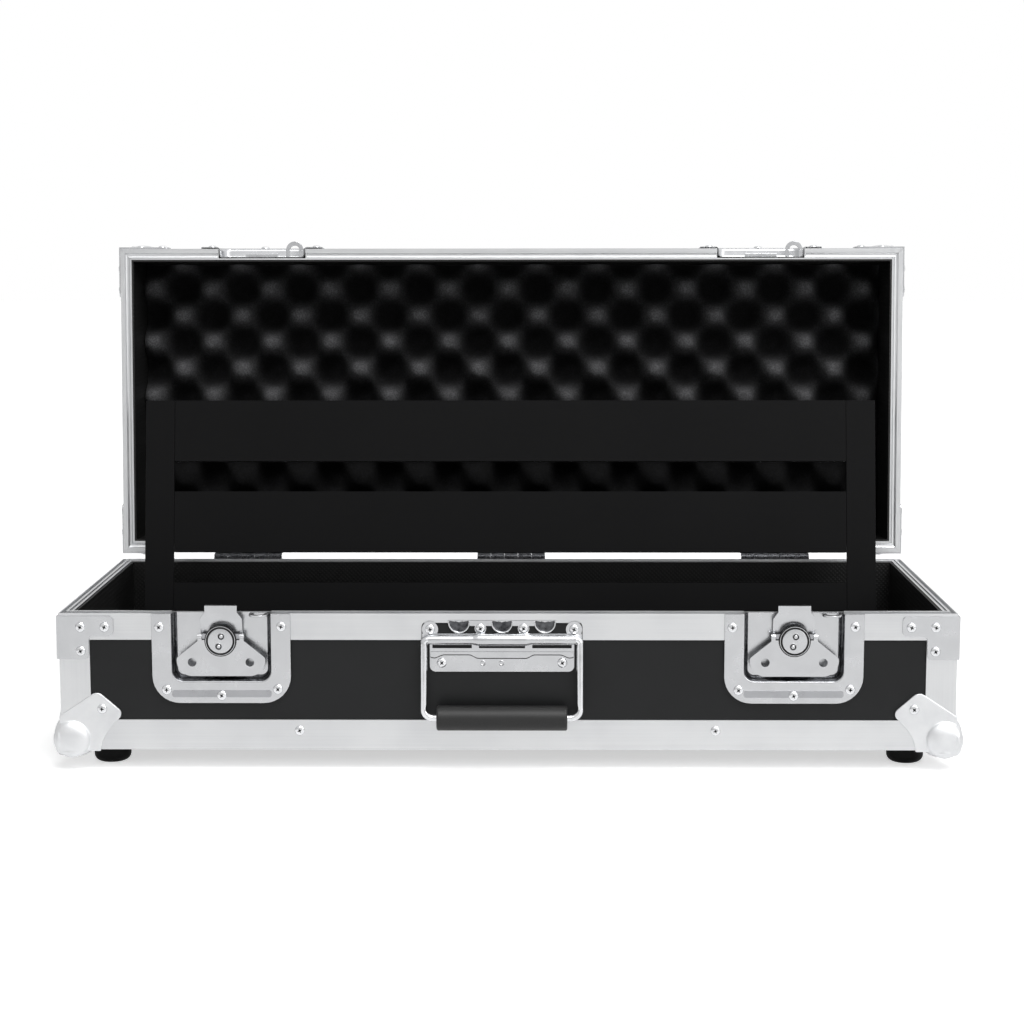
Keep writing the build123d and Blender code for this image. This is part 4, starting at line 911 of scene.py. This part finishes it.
def lid_channels():
    """Half-round bottoms of the groove round the lid's rim that takes the base's bead."""
    bm = bmesh.new()
    x, y = HALF_W - CHANNEL_IN[0], HALF_D - CHANNEL_IN[0]
    ends = [-x, *(side * LATCH_X + edge for side in (-1, 1) for edge in (-CHANNEL_GAP, CHANNEL_GAP)), x]
    for left, right in zip(ends[::2], ends[1::2]):
        channel(bm, (left, -y, Z_PART), (right, -y, Z_PART), (0, 1, 0), (int(left == -x), int(right == x)))
    channel(bm, (-x, y, Z_PART), (x, y, Z_PART), (0, -1, 0))
    for side in (-1, 1):
        channel(bm, (side * x, -y, Z_PART), (side * x, y, Z_PART), (-side, 0, 0))
    look_along(bm, Vector((0, 0, -1)))
    piece(bm, "lid_rim_channels", "lid", [EDGE_UPRIGHT], (), opened(), 60)


egg_crate()
lid_channels()


# ---------------------------------------------------------------- floor foam
PAD_LOW = Z_LOW + 8.5   # the base's floor
PAD_BED = 29.0          # thickness behind the step
PAD_STEP = 42.5         # thickness in front of it
PAD_EDGE = 3.0
STEP_Y = 20.0


def floor_pad():
    """Cut foam on the floor: a bed and a higher front step, with crushed soft edges."""
    bm = bmesh.new()
    x, y = REACH
    section = [(-y, 0), (y, 0), (y, PAD_BED), (STEP_Y, PAD_BED), (STEP_Y, PAD_STEP), (-y, PAD_STEP)]
    face = bm.faces.new([bm.verts.new((-x, depth, PAD_LOW + rise)) for depth, rise in section])
    made = bmesh.ops.extrude_face_region(bm, geom=[face])["geom"]
    bmesh.ops.translate(bm, vec=(2 * x, 0, 0), verts=verts_in(made))
    bmesh.ops.recalc_face_normals(bm, faces=bm.faces)
    round_edges(bm, bm.edges, PAD_EDGE, 3)
    obj = piece(bm, "floor_foam_pad", "base", [FOAM], ["floor_foam"])


floor_pad()


# ---------------------------------------------------------------- studio
FLOOR_HALF = 9.0
FLOOR_TONE = 0.86
FLOOR_GLOW = 0.58       # white that the eye sees on top of the lit floor
SHINE_GLOW = 0.6        # share of it that reflections see near the object
GLOW_NEAR, GLOW_FAR = 1.5, 4.0      # and how far out it fades, in metres
WORLD_LIGHT = 0.13      # light of the surroundings on the object
SHINE_LEFT, SHINE_RIGHT = 0.7, 1.1  # the surroundings in reflections, from side to side
SHINE_SIDE = 0.8        # sideways part of a direction at which these are reached
SHINE_LOW = 0.8         # share of it near the horizon
LOW_END, HIGH_END = 0.05, 0.45      # upward part of a direction where that share ends and the full light starts


def studio_floor():
    """Plain white floor that keeps the object's shadow."""
    bm = bmesh.new()
    bmesh.ops.create_grid(bm, x_segments=1, y_segments=1, size=FLOOR_HALF)
    floor = mesh_object(bm, "studio_floor")
    mat, tree, place = new_surface("white_floor")
    path = add(tree, "ShaderNodeLightPath")
    seen = add(tree, MATH, 0, {0: path.outputs["Is Camera Ray"], 1: path.outputs["Is Transmission Ray"]},
               operation="MAXIMUM")
    apart = add(tree, "ShaderNodeVectorMath", "Value", {0: place}, operation="LENGTH")
    near = add(tree, RANGE, 0, {"Value": apart, "From Min": GLOW_NEAR, "From Max": GLOW_FAR,
                                "To Min": SHINE_GLOW, "To Max": 0.0}, interpolation_type="SMOOTHSTEP")
    shine = add(tree, MATH, 0, {0: path.outputs["Is Glossy Ray"], 1: near}, operation="MULTIPLY")
    lift = add(tree, MATH, 0, {0: seen, 1: shine}, operation="ADD")
    floor.data.materials.append(finished(mat, {
        "Base Color": (FLOOR_TONE, FLOOR_TONE, FLOOR_TONE, 1), "Roughness": 0.9, "Specular IOR Level": 0.0,
        "Emission Color": (1, 1, 1, 1),
        "Emission Strength": add(tree, MATH, 0, {0: lift, 1: FLOOR_GLOW}, operation="MULTIPLY")}))


def studio_world():
    """White surroundings for the eye. Reflections see them brighter to the right and dimmer near the horizon."""
    world = bpy.data.worlds.new("studio")
    bpy.context.scene.world = world
    world.use_nodes = True
    tree = world.node_tree
    path = add(tree, "ShaderNodeLightPath")
    seen = add(tree, MATH, 0, {0: path.outputs["Is Camera Ray"], 1: path.outputs["Is Transmission Ray"]},
               operation="MAXIMUM")
    level = add(tree, RANGE, 0, {"Value": seen, "To Min": WORLD_LIGHT, "To Max": 1.0})
    way = add(tree, SPLIT, None, {"Vector": add(tree, PLACE, "Generated")})
    side = add(tree, RANGE, 0, {"Value": way.outputs["X"], "From Min": -SHINE_SIDE, "From Max": SHINE_SIDE,
                                "To Min": SHINE_LEFT, "To Max": SHINE_RIGHT})
    band = add(tree, RANGE, 0, {"Value": way.outputs["Z"], "From Min": LOW_END, "From Max": HIGH_END,
                                "To Min": SHINE_LOW, "To Max": 1.0}, interpolation_type="SMOOTHSTEP")
    shine = add(tree, MATH, 0, {0: side, 1: band}, operation="MULTIPLY")
    strength = add(tree, MIX, 0, {"Factor": path.outputs["Is Glossy Ray"], 2: level, 3: shine}, data_type="FLOAT")
    fill(tree, tree.nodes["Background"], {"Strength": strength, "Color": (1, 1, 1, 1)})


def lamp(name, kind, back, power, **settings):
    """Lamp whose light comes from the direction back."""
    data = bpy.data.lights.new(name, kind)
    data.energy = power
    for key, value in settings.items():
        setattr(data, key, value)
    obj = shown(name, data)
    obj.rotation_mode = "QUATERNION"
    obj.rotation_quaternion = Vector(back).to_track_quat("Z", "Y")
    return obj


def softbox(name, where, aim, size, power):
    """Rectangular area lamp turned to its aim."""
    back = Vector(where) - Vector(aim)
    lamp(name, "AREA", back, power, shape="RECTANGLE", size=size[0], size_y=size[1]).location = where


studio_floor()
studio_world()
# broad even light from above, a little from the right and the front
lamp("overhead_light", "SUN", (0.3, -0.6, 1.0), 2.0, angle=math.radians(32))
softbox("top_light", (0.1, -1.5, 2.0), (0, 0, 0.15), (2.0, 1.2), 6)
softbox("right_light", (1.7, -1.7, 1.1), (0, 0, 0.2), (1.2, 1.2), 7)


# ---------------------------------------------------------------- camera
IMAGE = 1024            # picture side in pixels
FOCAL = 2198.2          # focal length in pixels
SENSOR = 36.0
CAMERA_AT = (0.0218, -1.777, 0.4237)
PITCH = math.radians(7.72)
YAW = math.radians(-0.63)
ROLL = math.radians(-0.07)


def camera():
    """Camera where the photograph was taken from."""
    ahead = Vector((math.sin(YAW) * math.cos(PITCH), math.cos(YAW) * math.cos(PITCH), -math.sin(PITCH)))
    right = Vector((math.cos(YAW), -math.sin(YAW), 0))
    right = right * math.cos(ROLL) + right.cross(ahead) * math.sin(ROLL)
    data = bpy.data.cameras.new("camera")
    data.sensor_width = SENSOR
    data.lens = FOCAL / IMAGE * SENSOR
    data.clip_start, data.clip_end = 0.05, 50
    obj = shown("camera", data)
    turn = Matrix((right, right.cross(ahead), -ahead)).transposed().to_4x4()
    obj.matrix_world = Matrix.Translation(CAMERA_AT) @ turn
    bpy.context.scene.camera = obj


camera()
bpy.context.scene.view_settings.view_transform = "Standard"
